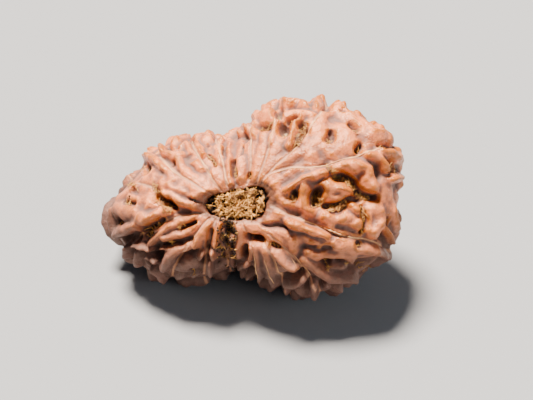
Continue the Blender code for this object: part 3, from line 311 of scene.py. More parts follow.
# Broad low ground that the folds stand up from, keeping their tops: radius, depth, (u, v) points.
hollows = (
    (1.0, 0.9, (-10.4, -3.2), (-9.3, -2.7)),
    (0.6, 0.9, (-9.4, -4.9), (-8.0, -4.55), (-6.5, -4.1), (-5.0, -3.85)),
    (1.0, 0.9, (-8.9, -5.4), (-8.7, -6.1)),
    (0.9, 0.8, (-6.5, -6.0), (-5.5, -5.4), (-4.9, -5.1)),
    (1.0, 0.9, (-3.7, -6.2), (-2.2, -6.8)),
    (1.0, 0.4, (-1.2, -3.0), (-1.25, -6.4)),
    (0.8, 0.9, (1.4, -3.7), (2.4, -3.8)),
    (0.6, 1.0, (0.9, -5.2), (0.95, -5.6)),
    (1.0, 1.0, (1.2, -7.2), (3.2, -8.2)),
    (0.8, 1.1, (5.3, -7.5), (6.8, -7.5)),
    (0.7, 1.2, (7.7, -8.5), (7.8, -9.4)),
    (0.7, 1.2, (9.2, -8.7), (9.4, -9.4)),
    (1.3, 0.3, (7.2, -4.5), (9.8, -4.9)),
    (0.6, 0.5, (5.8, -3.3), (7.4, -3.5), (9.4, -4.2)),
    (1.0, 0.5, (12.6, -6.7), (14.2, -6.5)),
    (0.9, 0.8, (11.0, -6.4), (9.6, -6.3)),
    (0.8, 1.3, (-13.0, -3.95), (-11.4, -3.6)),
    (0.8, 1.1, (-10.3, -5.6), (-10.0, -6.6)),
    (0.6, 0.9, (-11.7, -5.2), (-11.8, -6.0)),
    (0.7, 0.8, (-8.6, 0.9), (-7.2, -0.4)),
    (0.8, 0.45, (8.6, 1.4), (8.4, 0.2)),
    (0.55, 0.3, (11.0, 2.9), (12.5, 2.4)),
    (0.55, 0.4, (12.9, 1.0), (14.6, 0.6)),
    (0.7, 0.35, (-5.8, -0.95), (-4.5, -1.0)),
    (0.7, 0.7, (15.6, -3.4), (16.4, -4.3)),
    (0.75, 0.5, (10.15, 7.5), (9.95, 6.9)),
    (0.6, 0.45, (12.4, 8.4), (12.75, 8.1)),
    (0.6, 0.4, (13.3, 6.3), (13.0, 5.9)),
    (0.8, 0.4, (16.1, 4.5), (16.8, 4.0)),
    (0.7, 0.4, (2.4, 8.5), (3.3, 8.6)),
)

# Seams that part the seed's faces, each from the stem hole outwards, as (u, v).
seams = (
    ((3.2, 3.2), (5.5, 4.0), (8.0, 3.95), (10.2, 4.3), (12.0, 4.95), (13.4, 5.3), (14.6, 5.8), (16.3, 6.0)),
    ((2.6, 2.4), (4.2, 4.2), (5.6, 5.4), (7.0, 7.1), (8.2, 8.8), (9.2, 10.0), (9.9, 10.3)),
    ((2.0, 2.2), (2.9, 4.4), (3.5, 6.4), (4.0, 8.0), (4.5, 9.9)),
    ((1.0, 2.2), (1.4, 4.4), (1.4, 6.8), (1.6, 8.4), (1.75, 9.3)),
    ((-1.2, 2.0), (-1.6, 4.0), (-2.2, 6.0), (-2.7, 7.4)),
    ((-1.9, 1.5), (-2.9, 2.8), (-4.0, 4.6), (-4.8, 5.9), (-5.5, 7.1)),
    ((-3.1, 1.1), (-5.0, 2.4), (-6.4, 3.2), (-7.8, 4.3), (-9.2, 5.6)),
    ((-7.0, -0.2), (-8.5, 0.8), (-9.4, 1.7), (-11.3, 2.2)),
    ((-3.4, -0.9), (-6.5, -1.4), (-8.2, -2.0), (-10.2, -3.1), (-12.0, -4.0)),
    ((-3.2, -1.6), (-4.8, -3.5), (-5.8, -5.0), (-7.2, -7.0), (-7.6, -8.3)),
    ((-2.4, -1.6), (-3.1, -3.2), (-3.4, -4.6), (-3.7, -6.2), (-4.0, -8.2)),
    ((-0.8, -1.8), (-0.85, -3.0), (-0.9, -5.0), (-1.3, -7.4)),
    ((0.6, -2.2), (1.7, -4.6), (2.1, -6.4), (3.0, -9.0)),
    ((2.4, -3.6), (3.8, -5.4), (4.4, -6.8), (5.1, -8.2), (5.6, -9.8)),
    ((3.4, -3.2), (5.4, -5.0), (6.6, -6.3), (7.8, -7.8), (9.2, -9.8)),
    (
        (3.4, 0.1), (5.2, -1.0), (7.0, -1.7), (9.0, -2.5), (11.0, -3.35), (13.0, -3.65), (14.6, -4.0),
        (15.8, -4.6),
    ),
)

# What all folds share, and the rule that carries folds, pits and seams on to the blossom end.
relief = {
    "widen": 2.15,
    "tallNarrow": 0.55,
    "blend": 4.4,
    "roundness": 1.6,
    "hollowRoundness": 1.6,
    "pitRoundness": 1.7,
    "pitWiden": 1.6,
    "lowestPit": 1.9,
    "seamWidth": 0.2,
    "seamDepth": 0.13,
    "seamRoundness": 1.5,
    "waver": 0.14,
    "waverLength": 2.3,
    "waverPhases": (0.3, 2.1, 4.4),
    "lumpy": 0.16,
    "lumpLength": 1.7,
    "lumpPhase": 5.1,
    "grain": 0.024,
    "grainLength": 0.95,
    "grainPhase": 1.2,
    "fineGrain": 0.014,
    "fineLength": 0.45,
    "finePhase": 3.6,
}
back = {
    "seed": 17,
    "from": math.radians(101),
    "to": math.radians(164),
    "row": 2.9,
    "rowSpread": (0.9, 1.1),
    "spacing": 2.5,
    "stray": 0.18,
    "strayDown": 0.03,
    "overlap": 0.1,
    "points": 6,
    "width": (0.62, 0.85),
    "widen": 1.35,
    "height": (0.9, 1.4),
    "length": (1.1, 2.3),
    "skew": 0.8,
    "bend": 0.6,
    "bendTurn": 3.4,
    "leastReach": 2.0,
    "depth": 9,
    "pitShare": 0.45,
    "pitAside": 0.9,
    "pitRadius": (0.25, 0.45),
    "pitDepth": (0.5, 1.1),
    "seamFrom": math.radians(86),
    "seamPoints": 9,
    "seamSwing": 0.05,
    "seamSwings": 5,
    "seamPhase": 7,
    "extraSeam": math.radians(2),
}


# Radius at any angle of an outline given by evenly spaced radii: the sum of waves through them all.
def radiusAt(angle, radii):
    count = len(radii)
    waves = np.fft.rfft(radii) / count
    order = np.arange(len(waves))
    share = np.where((order == 0) | (order * 2 == count), 1.0, 2.0)
    turns = np.exp(1j * np.multiply.outer(np.asarray(angle, float), order))
    return (turns * waves * share).real.sum(-1)


def waistlineRadius(angle):
    return radiusAt(angle, body["waistline"])


# Place on the smooth body: a squared-off ellipse from hole to hole, whose reach follows the waistline,
# dimpled round the holes and sheared along w so that the wide end stands out.
def bodyPoint(angle, polar):
    reach = waistlineRadius(angle) * np.sin(polar) ** body["squareness"]
    depth = np.where(polar < math.pi / 2, body["stemDepth"], body["blossomDepth"])
    facing = np.sign(np.cos(polar))
    rise = depth * facing * np.abs(np.cos(polar)) ** body["squareness"]
    u = reach * np.cos(angle)
    v = reach * np.sin(angle)
    dimple = body["dimpleDepth"] * np.exp(-((reach / body["dimpleRadius"]) ** 2)) * facing
    return np.stack([u, v, rise - dimple + body["lean"] * u], -1)


# Angle and polar angle of points seen at (u, v), looking along the axis at the stem end; points beyond
# the outline go over the edge by as much as they pass it.
def stemPlace(points):
    points = np.atleast_2d(points).astype(float)
    angle = np.arctan2(points[:, 1], points[:, 0])
    share = np.hypot(points[:, 0], points[:, 1]) / (waistlineRadius(angle) + body["meanRelief"])
    polar = np.arcsin(np.minimum(share, 2 - share) ** (1 / body["squareness"]))
    return angle, np.where(share > 1, math.pi - polar, polar)


# Outward unit normals of the body: the cross product of small steps along both angles.
def bodyNormal(angle, polar):
    step = 0.004
    polar = np.clip(polar, 2 * step, math.pi - 2 * step)
    around = bodyPoint(angle + step, polar) - bodyPoint(angle - step, polar)
    down = bodyPoint(angle, polar + step) - bodyPoint(angle, polar - step)
    normal = np.cross(down, around)
    return normal / np.linalg.norm(normal, axis=-1, keepdims=True)


# A smooth curve through the points: each stretch is the cubic that leaves and arrives along the line
# between its neighbours.
def smoothCurve(points, cuts=3):
    points = np.asarray(points, float)
    if len(points) < 3:
        return points
    ends = np.concatenate([[2 * points[0] - points[1]], points, [2 * points[-1] - points[-2]]])
    share = (np.arange(cuts) / cuts)[:, None, None]
    before, start, end, after = ends[:-3], ends[1:-2], ends[2:-1], ends[3:]
    curve = start + share * 0.5 * (
        end - before
        + share * (2 * before - 5 * start + 4 * end - after + share * (3 * (start - end) + after - before))
    )
    return np.concatenate([curve.transpose(1, 0, 2).reshape(-1, points.shape[1]), points[-1:]])


# One number stands for both ends of a fold.
def pair(value):
    return value if isinstance(value, tuple) else (value, value)


# A listed fold or pit laid on the body: half widths, heights and places along a smooth curve. The skirt
# of a fold spreads wider than it is listed, most of all where it is low.
def onStem(row, widen=1.0, narrowing=0.0):
    curve = smoothCurve(row[2:])
    step = np.r_[0, np.cumsum(np.linalg.norm(np.diff(curve, axis=0), axis=1))]
    share = step / max(step[-1], 1e-6)
    height = np.interp(share, (0, 1), pair(row[1]))
    width = np.interp(share, (0, 1), pair(row[0])) * (widen - narrowing * height)
    return width, height, bodyPoint(*stemPlace(curve))


# How far each feature lifts each point: for every straight piece of its path, the distance to it as a
# share of the half width, rounded off, times its height over the ground; a soft maximum joins them.
def swelling(points, features, roundness, ground=None):
    total = np.zeros(len(points))
    ground = np.zeros(len(points)) if ground is None else ground
    for width, height, path in features:
        low = path.min(0) - width.max()
        high = path.max(0) + width.max()
        near = np.flatnonzero(((points > low) & (points < high)).all(1))
        if not len(near):
            continue
        at = points[near]
        lift = np.zeros(len(near))
        for k in range(len(path) - 1):
            along = path[k + 1] - path[k]
            share = np.clip((at - path[k]) @ along / max(along @ along, 1e-9), 0, 1)
            gap = np.linalg.norm(at - path[k] - share[:, None] * along, axis=1)
            apart = gap / (width[k] + (width[k + 1] - width[k]) * share)
            top = height[k] + (height[k + 1] - height[k]) * share + ground[near]
            lift = np.maximum(lift, top * np.clip(1 - apart**2, 0, 1) ** roundness)
        total[near] += np.expm1(relief["blend"] * lift)
    return np.log1p(total) / relief["blend"]


# Angle of each seam where it crosses the waistline, with one more at the wide end, in order.
def seamAngles():
    angles = [math.atan2(seam[-1][1], seam[-1][0]) % math.tau for seam in seams]
    return sorted(angles + [back["extraSeam"]])


# Folds, pits and seams from the waistline to the blossom end: rows of short bent folds across each
# face of the seed, with pits beside some of them, all drawn from one seed number.
def backFeatures():
    draw = np.random.default_rng(back["seed"])
    spread = np.linspace(-1, 1, back["points"])
    bendShape = np.cos(back["bendTurn"] * spread)
    backFolds, backPits, backSeams = [], [], []
    angles = seamAngles()
    for first, last in zip(angles, angles[1:] + [angles[0] + math.tau]):
        seamPolar = np.linspace(back["seamFrom"], back["to"], back["seamPoints"])
        swing = np.sin(back["seamSwings"] * seamPolar + back["seamPhase"] * first)
        even = np.ones(back["seamPoints"])
        seamPath = bodyPoint(first + back["seamSwing"] * swing, seamPolar)
        backSeams.append((relief["seamWidth"] * even, relief["seamDepth"] * even, seamPath))
        polar = back["from"]
        while polar < back["to"]:
            radius = float(waistlineRadius((first + last) / 2)) * math.sin(polar)
            across = max(1, round(radius * (last - first) / back["spacing"]))
            radius = max(radius, back["leastReach"])
            for nth in range(across):
                share = (nth + 0.5 + draw.uniform(-back["stray"], back["stray"])) / across
                centre = first + (last - first) * share
                length = draw.uniform(*back["length"])
                skew = draw.uniform(-back["skew"], back["skew"])
                bend = draw.uniform(-1, 1) * back["bend"] * bendShape
                pathAngle = centre + (spread * skew * length + bend) / radius
                shift = draw.uniform(-back["strayDown"], back["strayDown"])
                pathPolar = polar + spread * length / back["depth"] + shift
                pathPolarHeld = np.clip(pathPolar, back["from"] - back["overlap"], back["to"])
                path = bodyPoint(pathAngle, pathPolarHeld)
                even = np.ones(back["points"])
                width = draw.uniform(*back["width"]) * back["widen"] * even
                backFolds.append((width, draw.uniform(*back["height"]) * even, path))
                if draw.uniform() < back["pitShare"]:
                    even = np.ones(2)
                    spot = bodyPoint(np.full(2, centre + back["pitAside"] / radius), pathPolar[2:4])
                    width = draw.uniform(*back["pitRadius"]) * even
                    backPits.append((width, draw.uniform(*back["pitDepth"]) * even, spot))
            polar += back["row"] / body["blossomDepth"] * draw.uniform(*back["rowSpread"])
    return backFolds, backPits, backSeams


# A slow, even waver in three directions: sums of sines of the place. The lengths stand in ratios such as
# 0.83 and 1.31 to each other, so that no pattern comes round again.
def waver(points, length, phase):
    turn = points * (math.tau / length)
    a, b, c = turn[:, 0], turn[:, 1], turn[:, 2]
    first = np.sin(a + 0.7 * np.sin(1.31 * b + phase) + phase) * np.cos(0.83 * c - phase)
    second = np.sin(1.17 * b - 0.6 * c + 2 * phase) * np.cos(0.9 * a + phase)
    return 0.6 * first + 0.4 * second


# Every row of folds, pits, hollows and seams laid on the body, with those of the back after them.
def allFeatures():
    backFolds, backPits, backSeams = backFeatures()
    seamRows = [(relief["seamWidth"], relief["seamDepth"], *seam) for seam in seams]
    up = [onStem(row, relief["widen"], relief["tallNarrow"]) for row in folds] + backFolds
    down = [onStem(row, relief["pitWiden"]) for row in pits] + backPits
    low = [onStem(row) for row in hollows]
    return up, down, low, [onStem(row) for row in seamRows] + backSeams


upFeatures, downFeatures, lowFeatures, seamFeatures = allFeatures()


# 0 at the middle of a hole and 1 on its rim.
def holeShare(points, hole):
    u, v = points[:, 0], points[:, 1]
    return np.hypot(u, v) / radiusAt(np.arctan2(v, u), hole["rim"])


# From 0 at low to 1 at high along the S curve 3x^2 - 2x^3.
def smoothStep(low, high, x):
    share = np.clip((x - low) / (high - low), 0, 1)
    return share * share * (3 - 2 * share)


# The seed's surface over places on the body: the body raised along its normals into folds, lowered
# into pits and seams, with a fine grain, and sunk along w inside both holes.
def surfaceAt(angle, polar):
    flat = bodyPoint(angle, polar)
    normals = bodyNormal(angle, polar)
    warp = [waver(flat, relief["waverLength"], phase) for phase in relief["waverPhases"]]
    bent = flat + relief["waver"] * np.stack(warp, 1)
    ground = swelling(bent, lowFeatures, relief["hollowRoundness"])
    up = swelling(bent, upFeatures, relief["roundness"], ground)
    up = up * (1 + relief["lumpy"] * waver(flat, relief["lumpLength"], relief["lumpPhase"])) - ground
    down = swelling(bent, downFeatures, relief["pitRoundness"])
    seam = swelling(flat, seamFeatures, relief["seamRoundness"])
    grain = relief["grain"] * waver(flat, relief["grainLength"], relief["grainPhase"])
    grain += relief["fineGrain"] * waver(flat, relief["fineLength"], relief["finePhase"])
    height = up - np.minimum(down, relief["lowestPit"]) - seam + grain
    facing = np.where(polar < math.pi / 2, 1, -1)
    sink = np.zeros(len(flat))
    rim = np.zeros(len(flat))
    rag = holeEdge["rag"] * waver(flat, holeEdge["ragLength"], holeEdge["ragPhase"])
    for hole in (stemHole, blossomHole):
        share = holeShare(flat, hole) + rag
        near = facing == hole["side"]
        wall = smoothStep(1 - holeEdge["slope"], holeEdge["lip"], share)
        height = np.where(near, height * smoothStep(1.0, holeEdge["smoothTo"], share), height)
        sink = np.where(near, hole["depth"] * (1 - wall), sink)
        rim = np.where(near, 1 - smoothStep(1.0, holeEdge["shadeTo"], share), rim)
    surface = flat + normals * height[:, None]
    surface[:, 2] -= facing * sink
    return surface, normals, {"height": height, "pit": down, "seam": seam, "rim": rim}


# From the seed's frame in millimetres to the model's frame in metres, as the seed lies.
def toWorld(points):
    rise, run = math.sin(body["axisRise"]), math.cos(body["axisRise"])
    u, v, w = points[:, 0], points[:, 1], points[:, 2]
    x = u + body["centreShift"][0]
    y = v * rise - w * run + body["centreShift"][1]
    z = v * run + w * rise + body["restHeight"]
    return np.stack([x, y, z], 1) * mm


# Quads of a grid that wraps round its columns, with a fan at each pole; the poles come last.
def wrappedFaces(columns, rows):
    column = np.arange(columns)
    beside = (column + 1) % columns
    upper = np.arange(rows - 1)[:, None] * columns
    lower = upper + columns
    quads = np.stack([upper + column, lower + column, lower + beside, upper + beside], -1)
    last = (rows - 1) * columns
    firstPole = np.full(columns, columns * rows)
    top = np.stack([firstPole, column, beside], -1)
    bottom = np.stack([last + column, firstPole + 1, last + beside], -1)
    return quads.reshape(-1, 4), np.concatenate([top, bottom])


# A piece from points in metres and two lists of faces, at the origin and with smooth shading.
def makeMesh(name, points, quads, triangles, finish):
    mesh = bpy.data.meshes.new(name)
    mesh.from_pydata(points.tolist(), [], quads.tolist() + triangles.tolist())
    mesh.materials.append(finish)
    mesh.shade_smooth()
    piece = bpy.data.objects.new(name, mesh)
    bpy.context.scene.collection.objects.link(piece)
    return piece


def addAttribute(piece, name, values):
    piece.data.attributes.new(name, "FLOAT", "POINT").data.foreach_set("value", values.astype(np.float32))


stone = {
    "columns": 450,
    "rows": 221,
    "frontShare": 0.1,
    "evenness": 0.75,
    "outlineSteps": 721,
    "tightReach": 0.35,
    "broadReach": 1.1,
    "mostOfGrid": 6,
}
# Eight ways round a point of the grid, as shares of the reach along its row and its column.
waysRound = ((1, 0), (-1, 0), (0, 1), (0, -1), (0.7, 0.7), (-0.7, 0.7), (0.7, -0.7), (-0.7, -0.7))


# How hollow the surface is round each point of the grid: the mean height over it, along its normal, of
# eight points that lie the given reach away from it, as a share of that reach.
def hollowness(grid, normals, reach):
    rows, columns = grid.shape[:2]
    aroundStep = np.linalg.norm(np.roll(grid, -1, 1) - grid, axis=2).mean(1)
    downStep = np.linalg.norm(np.diff(grid, axis=0), axis=2).mean(1)
    downStep = np.r_[downStep, downStep[-1]]
    row, column = np.meshgrid(np.arange(rows), np.arange(columns), indexing="ij")
    jump = np.clip(np.round(reach / aroundStep), 1, columns // stone["mostOfGrid"]).astype(int)[:, None]
    drop = np.clip(np.round(reach / downStep), 1, rows // stone["mostOfGrid"]).astype(int)[:, None]
    total = np.zeros_like(grid)
    for across, along in waysRound:
        toRow = np.clip(row + np.round(drop * along).astype(int), 0, rows - 1)
        toColumn = (column + np.round(jump * across).astype(int)) % columns
        total += grid[toRow, toColumn]
    return ((total / len(waysRound) - grid) * normals).sum(2) / reach


# Outward unit normals of a grid that wraps round its columns.
def gridNormals(grid):
    around = np.roll(grid, -1, 1) - np.roll(grid, 1, 1)
    down = np.gradient(grid, axis=0)
    normal = np.cross(down, around)
    return normal / np.maximum(np.linalg.norm(normal, axis=2, keepdims=True), 1e-9)


# Angles spaced more evenly along the waistline than round it, and polar angles closer together on
# the stem end.
def stoneGrid():
    fine = np.linspace(0, math.tau, stone["outlineSteps"])
    radius = waistlineRadius(fine)
    along = np.hypot(radius, np.gradient(radius, fine))
    length = np.r_[0, np.cumsum((along[1:] + along[:-1]) / 2 * np.diff(fine))]
    share = np.arange(stone["columns"]) / stone["columns"]
    even = np.interp(share * length[-1], length, fine)
    angle = even * stone["evenness"] + share * math.tau * (1 - stone["evenness"])
    step = (np.arange(stone["rows"]) + 1) / (stone["rows"] + 1)
    polar = math.pi * (step - stone["frontShare"] * np.sin(math.pi * step))
    return np.meshgrid(angle, polar)


# The stone: the surface over the grid, closed by a point at each pole, with what its finish needs to know
# of each point: how hollow it is, how deep in a pit, hole or seam, and how far from the body.
def buildStone(finish):
    angle, polar = stoneGrid()
    surface, _, facts = surfaceAt(angle.ravel(), polar.ravel())
    grid = surface.reshape(stone["rows"], stone["columns"], 3)
    normals = gridNormals(grid)
    poles = bodyPoint(np.zeros(2), np.array([nearPole, math.pi - nearPole]))
    poles[:, 2] -= np.array([stemHole["depth"], -blossomHole["depth"]])
    points = toWorld(np.concatenate([surface, poles]))
    points[:, 2] = np.maximum(points[:, 2], 0.0)
    piece = makeMesh("stone_surface", points, *wrappedFaces(stone["columns"], stone["rows"]), finish)
    for name in ("tight", "broad"):
        bent = hollowness(grid, normals, stone[name + "Reach"]).ravel()
        addAttribute(piece, name, np.r_[bent, 0, 0])
    addAttribute(piece, "pit", np.r_[facts["pit"], 1, 1])
    addAttribute(piece, "lift", np.r_[facts["height"], -1, -1])
    addAttribute(piece, "seam", np.r_[facts["seam"] / relief["seamDepth"], 0, 0])
    addAttribute(piece, "rim", np.r_[facts["rim"], 1, 1])
    return piece


askew = np.array([0.31, 0.52, 0.79])  # a direction that hardly any path runs along


# Closed tubes along many paths at once: paths is (tubes, points, 3) and radii (tubes, points); a ring
# of sides stands square to the path at each point, and both ends are capped.
def tubes(paths, radii, sides=5):
    count, length = paths.shape[:2]
    along = np.gradient(paths, axis=1)
    along /= np.maximum(np.linalg.norm(along, axis=2, keepdims=True), 1e-9)
    across = np.cross(along, askew)
    across /= np.maximum(np.linalg.norm(across, axis=2, keepdims=True), 1e-9)
    third = np.cross(along, across)
    turn = np.arange(sides) * math.tau / sides
    ring = across[:, :, None] * np.cos(turn)[:, None] + third[:, :, None] * np.sin(turn)[:, None]
    points = (paths[:, :, None] + ring * radii[:, :, None, None]).reshape(-1, 3)
    start = (np.arange(count) * length * sides)[:, None, None]
    lower = start + (np.arange(length - 1) * sides)[None, :, None]
    side = np.arange(sides)[None, None, :]
    beside = (side + 1) % sides
    quads = np.stack([lower + side, lower + beside, lower + sides + beside, lower + sides + side], -1)
    first = start[:, :, 0] + np.arange(sides)[::-1]
    last = start[:, :, 0] + (length - 1) * sides + np.arange(sides)
    return points, quads.reshape(-1, 4), np.concatenate([first, last])


# Surface points under places seen at (u, v) on the stem end, with the body's normals there.
def onSurface(places):
    surface, normals, _ = surfaceAt(*stemPlace(places))
    return surface, normals


fibre = {
    "seed": 5,
    "length": (0.35, 1.0),
    "lift": (0.02, 0.4),
    "radius": (0.028, 0.055),
    "middle": 1.1,
    "taper": 1.4,
    "taperPower": 1.5,
    "rise": (0.05, 0.55),
    "curl": 1.2,
    "points": 6,
    "gather": 0.7,
}

# Tufts of dry fibre in pits and grooves: how many, how far they spread, then (u, v) points.
tufts = (
    (14, 0.22, (6.1, 0.7), (6.15, 0.5)),
    (60, 0.45, (8.3, 0.9), (8.8, 0.5), (8.3, 0.0)),
    (40, 0.28, (9.8, -0.5), (10.8, -0.4), (11.6, 0.1)),
    (44, 0.2, (9.7, 3.9), (10.2, 3.4), (10.6, 2.8), (11.5, 2.5)),
    (50, 0.28, (11.4, 2.7), (12.2, 2.2), (12.7, 1.5)),
    (44, 0.25, (13.0, 0.9), (13.8, 0.7), (14.6, 0.7)),
    (46, 0.2, (13.4, -0.3), (13.5, -1.3), (13.7, -2.3), (13.4, -2.8)),
    (30, 0.28, (16.3, 4.1), (16.9, 3.6)),
    (12, 0.2, (15.2, 6.2), (16.2, 6.3)),
    (8, 0.15, (16.2, -1.7), (16.1, -2.0)),
    (12, 0.15, (9.9, 6.8), (9.85, 6.4)),
    (12, 0.15, (12.7, 8.1), (12.9, 7.8)),
    (7, 0.1, (13.2, 6.0), (13.1, 5.8)),
    (44, 0.3, (7.3, 8.6), (7.0, 7.8), (6.7, 7.0), (6.4, 6.4)),
    (8, 0.15, (5.1, 8.0), (5.2, 7.7)),
    (6, 0.1, (5.9, 9.1), (6.0, 9.0)),
    (14, 0.15, (2.6, 8.4), (2.8, 8.2)),
    (14, 0.12, (3.2, 8.3), (3.9, 8.7)),
    (26, 0.14, (-0.4, 4.5), (-0.3, 3.1)),
    (6, 0.1, (1.3, 3.2), (1.25, 3.0)),
    (12, 0.12, (-3.3, 5.4), (-2.8, 5.0), (-2.5, 4.3)),
    (34, 0.2, (-8.9, 1.9), (-8.8, 1.2), (-8.6, 0.6)),
    (40, 0.22, (-8.7, 0.2), (-7.9, -0.3), (-7.1, -0.7)),
    (10, 0.25, (-12.4, 0.1), (-12.0, -0.1)),
    (12, 0.3, (-11.8, 1.9), (-11.2, 1.6)),
    (14, 0.25, (-10.6, 4.0), (-10.0, 3.3)),
    (8, 0.2, (-13.3, -2.1), (-13.0, -2.4)),
    (30, 0.4, (-10.6, -3.4), (-9.8, -3.0)),
    (10, 0.2, (-9.2, -2.5), (-8.6, -2.2)),
    (8, 0.15, (-7.7, -4.3), (-7.3, -4.1)),
    (6, 0.1, (-6.3, -2.4), (-5.7, -2.2)),
    (30, 0.9, (-0.9, -2.1), (-1.0, -3.4), (-1.2, -4.8), (-1.3, -6.2)),
    (10, 0.15, (3.5, -4.3), (4.4, -4.7)),
    (12, 0.15, (9.8, -6.7), (9.9, -7.0)),
    (10, 0.15, (12.4, -6.8), (12.5, -7.1)),
    (24, 0.3, (13.2, -6.9), (14.4, -6.7)),
    (6, 0.12, (12.9, -4.3), (12.95, -4.5)),
    (6, 0.1, (-5.1, -7.3), (-5.0, -7.5)),
)

# Lumps of fibre and dust: how many, how far they spread, their size, then (u, v) points.
crumbs = (
    (200, 1.1, 0.11, (-1.0, -2.1), (-1.15, -3.4), (-1.3, -4.8), (-1.3, -6.4)),
    (12, 0.35, 0.09, (-10.4, -3.3), (-9.8, -3.0)),
    (10, 0.3, 0.08, (8.4, 0.6), (8.9, 0.3)),
    (8, 0.25, 0.08, (16.2, 3.5), (16.8, 3.3)),
    (8, 0.2, 0.08, (-8.7, 0.9), (-7.6, -0.3)),
    (8, 0.15, 0.07, (2.6, 8.4), (3.8, 8.6)),
    (6, 0.12, 0.07, (-3.2, 5.3), (-2.6, 4.4)),
    (6, 0.3, 0.08, (-12.2, 0.1), (-11.4, 1.7)),
    (8, 0.2, 0.07, (13.5, -1.0), (13.6, -2.4)),
    (4, 0.05, 0.12, (-4.8, 0.35), (-4.5, 0.35)),
    (3, 0.05, 0.1, (1.3, 3.15), (1.3, 3.0)),
)


# Random places along a path of (u, v) points, spread to each side.
def scatter(draw, count, spread, path):
    path = np.array(path, float)
    share = draw.uniform(0, len(path) - 1, count)
    places = np.stack([np.interp(share, np.arange(len(path)), path[:, k]) for k in (0, 1)], 1)
    return places + draw.normal(0, spread * fibre["gather"], (count, 2)).clip(-spread, spread)


# Fibres with their middles at the given places: each runs its own way along the surface, rises by a
# share of its length, curls sideways as the square of the way from its middle, and thins to its ends.
def strands(draw, starts, normals, lengths):
    count = len(starts)
    heading = np.cross(normals, draw.normal(size=(count, 3)))
    heading /= np.linalg.norm(heading, axis=1, keepdims=True)
    sideways = np.cross(normals, heading)
    way = np.linspace(-0.5, 0.5, fibre["points"])[None, :, None]
    rise = draw.uniform(*fibre["rise"], (count, 1, 1)) * draw.choice((-1, 1), (count, 1, 1))
    curl = draw.uniform(-1, 1, (count, 1, 1)) * fibre["curl"]
    step = heading[:, None] * way + normals[:, None] * (rise * way) + sideways[:, None] * (curl * way**2)
    paths = starts[:, None] + step * lengths[:, None, None]
    thickness = fibre["middle"] - fibre["taper"] * np.abs(way[0, :, 0]) ** fibre["taperPower"]
    return paths, draw.uniform(*fibre["radius"], (count, 1)) * thickness


# Tufts: fibres scattered along their rows, each a tube with its middle a little over the surface.
def buildTufts(finish):
    draw = np.random.default_rng(fibre["seed"])
    places = np.concatenate([scatter(draw, row[0], row[1], row[2:]) for row in tufts])
    surface, normals = onSurface(places)
    starts = surface + normals * draw.uniform(*fibre["lift"], (len(surface), 1))
    paths, radii = strands(draw, starts, normals, draw.uniform(*fibre["length"], len(starts)))
    points, quads, caps = tubes(paths, radii)
    return makeMesh("fibre_tufts", toWorld(points), quads, caps, finish)


lump = {"columns": 7, "rows": 4, "dents": (0.7, 1.25), "stretch": (0.6, 1.5)}


# Many small lumps at once: each is a low sphere grid, stretched and dented by its own random numbers.
def lumps(draw, centres, sizes):
    count, columns, rows = len(centres), lump["columns"], lump["rows"]
    around = np.arange(columns) * math.tau / columns
    down = (np.arange(rows) + 1) * math.pi / (rows + 1)
    angle, polar = np.meshgrid(around, down)
    level = [np.sin(polar) * np.cos(angle), np.sin(polar) * np.sin(angle), np.cos(polar)]
    ball = np.concatenate([np.stack(level, -1).reshape(-1, 3), [(0, 0, 1), (0, 0, -1)]])
    radius = sizes[:, None] * draw.uniform(*lump["dents"], (count, len(ball)))
    stretch = draw.uniform(*lump["stretch"], (count, 1, 3))
    points = centres[:, None] + ball[None] * radius[..., None] * stretch
    quads, fans = wrappedFaces(columns, rows)
    start = (np.arange(count) * len(ball))[:, None, None]
    return points.reshape(-1, 3), (quads + start).reshape(-1, 4), (fans + start).reshape(-1, 3)


crumb = {"seed": 6, "sizes": (0.6, 1.3), "standing": 0.4, "darkness": (0.0, 0.45)}


# Crumbs: lumps scattered along their rows, sunk a little into the surface, some darker than others.
def buildCrumbs(finish):
    draw = np.random.default_rng(crumb["seed"])
    places = np.concatenate([scatter(draw, row[0], row[1], row[3:]) for row in crumbs])
    sizes = np.concatenate([row[2] * draw.uniform(*crumb["sizes"], row[0]) for row in crumbs])
    surface, normals = onSurface(places)
    points, quads, fans = lumps(draw, surface + normals * sizes[:, None] * crumb["standing"], sizes)
    piece = makeMesh("fibre_crumbs", toWorld(points), quads, fans, finish)
    darkness = draw.uniform(*crumb["darkness"], len(sizes))
    addAttribute(piece, "low", np.repeat(darkness, len(points) // len(sizes)))
    return piece


plugs = {
    "seed": 23,
    "columns": 160,
    "rings": 44,
    "innerRing": 0.04,
    "floorRings": (0.97, 0.5),
    "upSlope": 0.3,
    "clearOfWall": 0.05,
    "edge": 0.88,
    "edgeDrop": 0.2,
    "sunk": 0.2,
    "crumble": 0.26,
    "waves": ((1.0, 1.1, 0.4), (0.7, 0.5, 1.9), (0.5, 0.27, 3.3)),  # share, length and phase
    "wadDepth": 1.2,
    "spread": 0.84,
    "strands": 330,
    "strandLength": (0.35, 1.15),
    "strandLift": (0, 0.22),
    "strandGirth": 1.25,
    "lumps": 300,
    "lumpSize": 0.12,
    "lumpSizes": (0.5, 1.4),
    "topLift": 0.08,
}
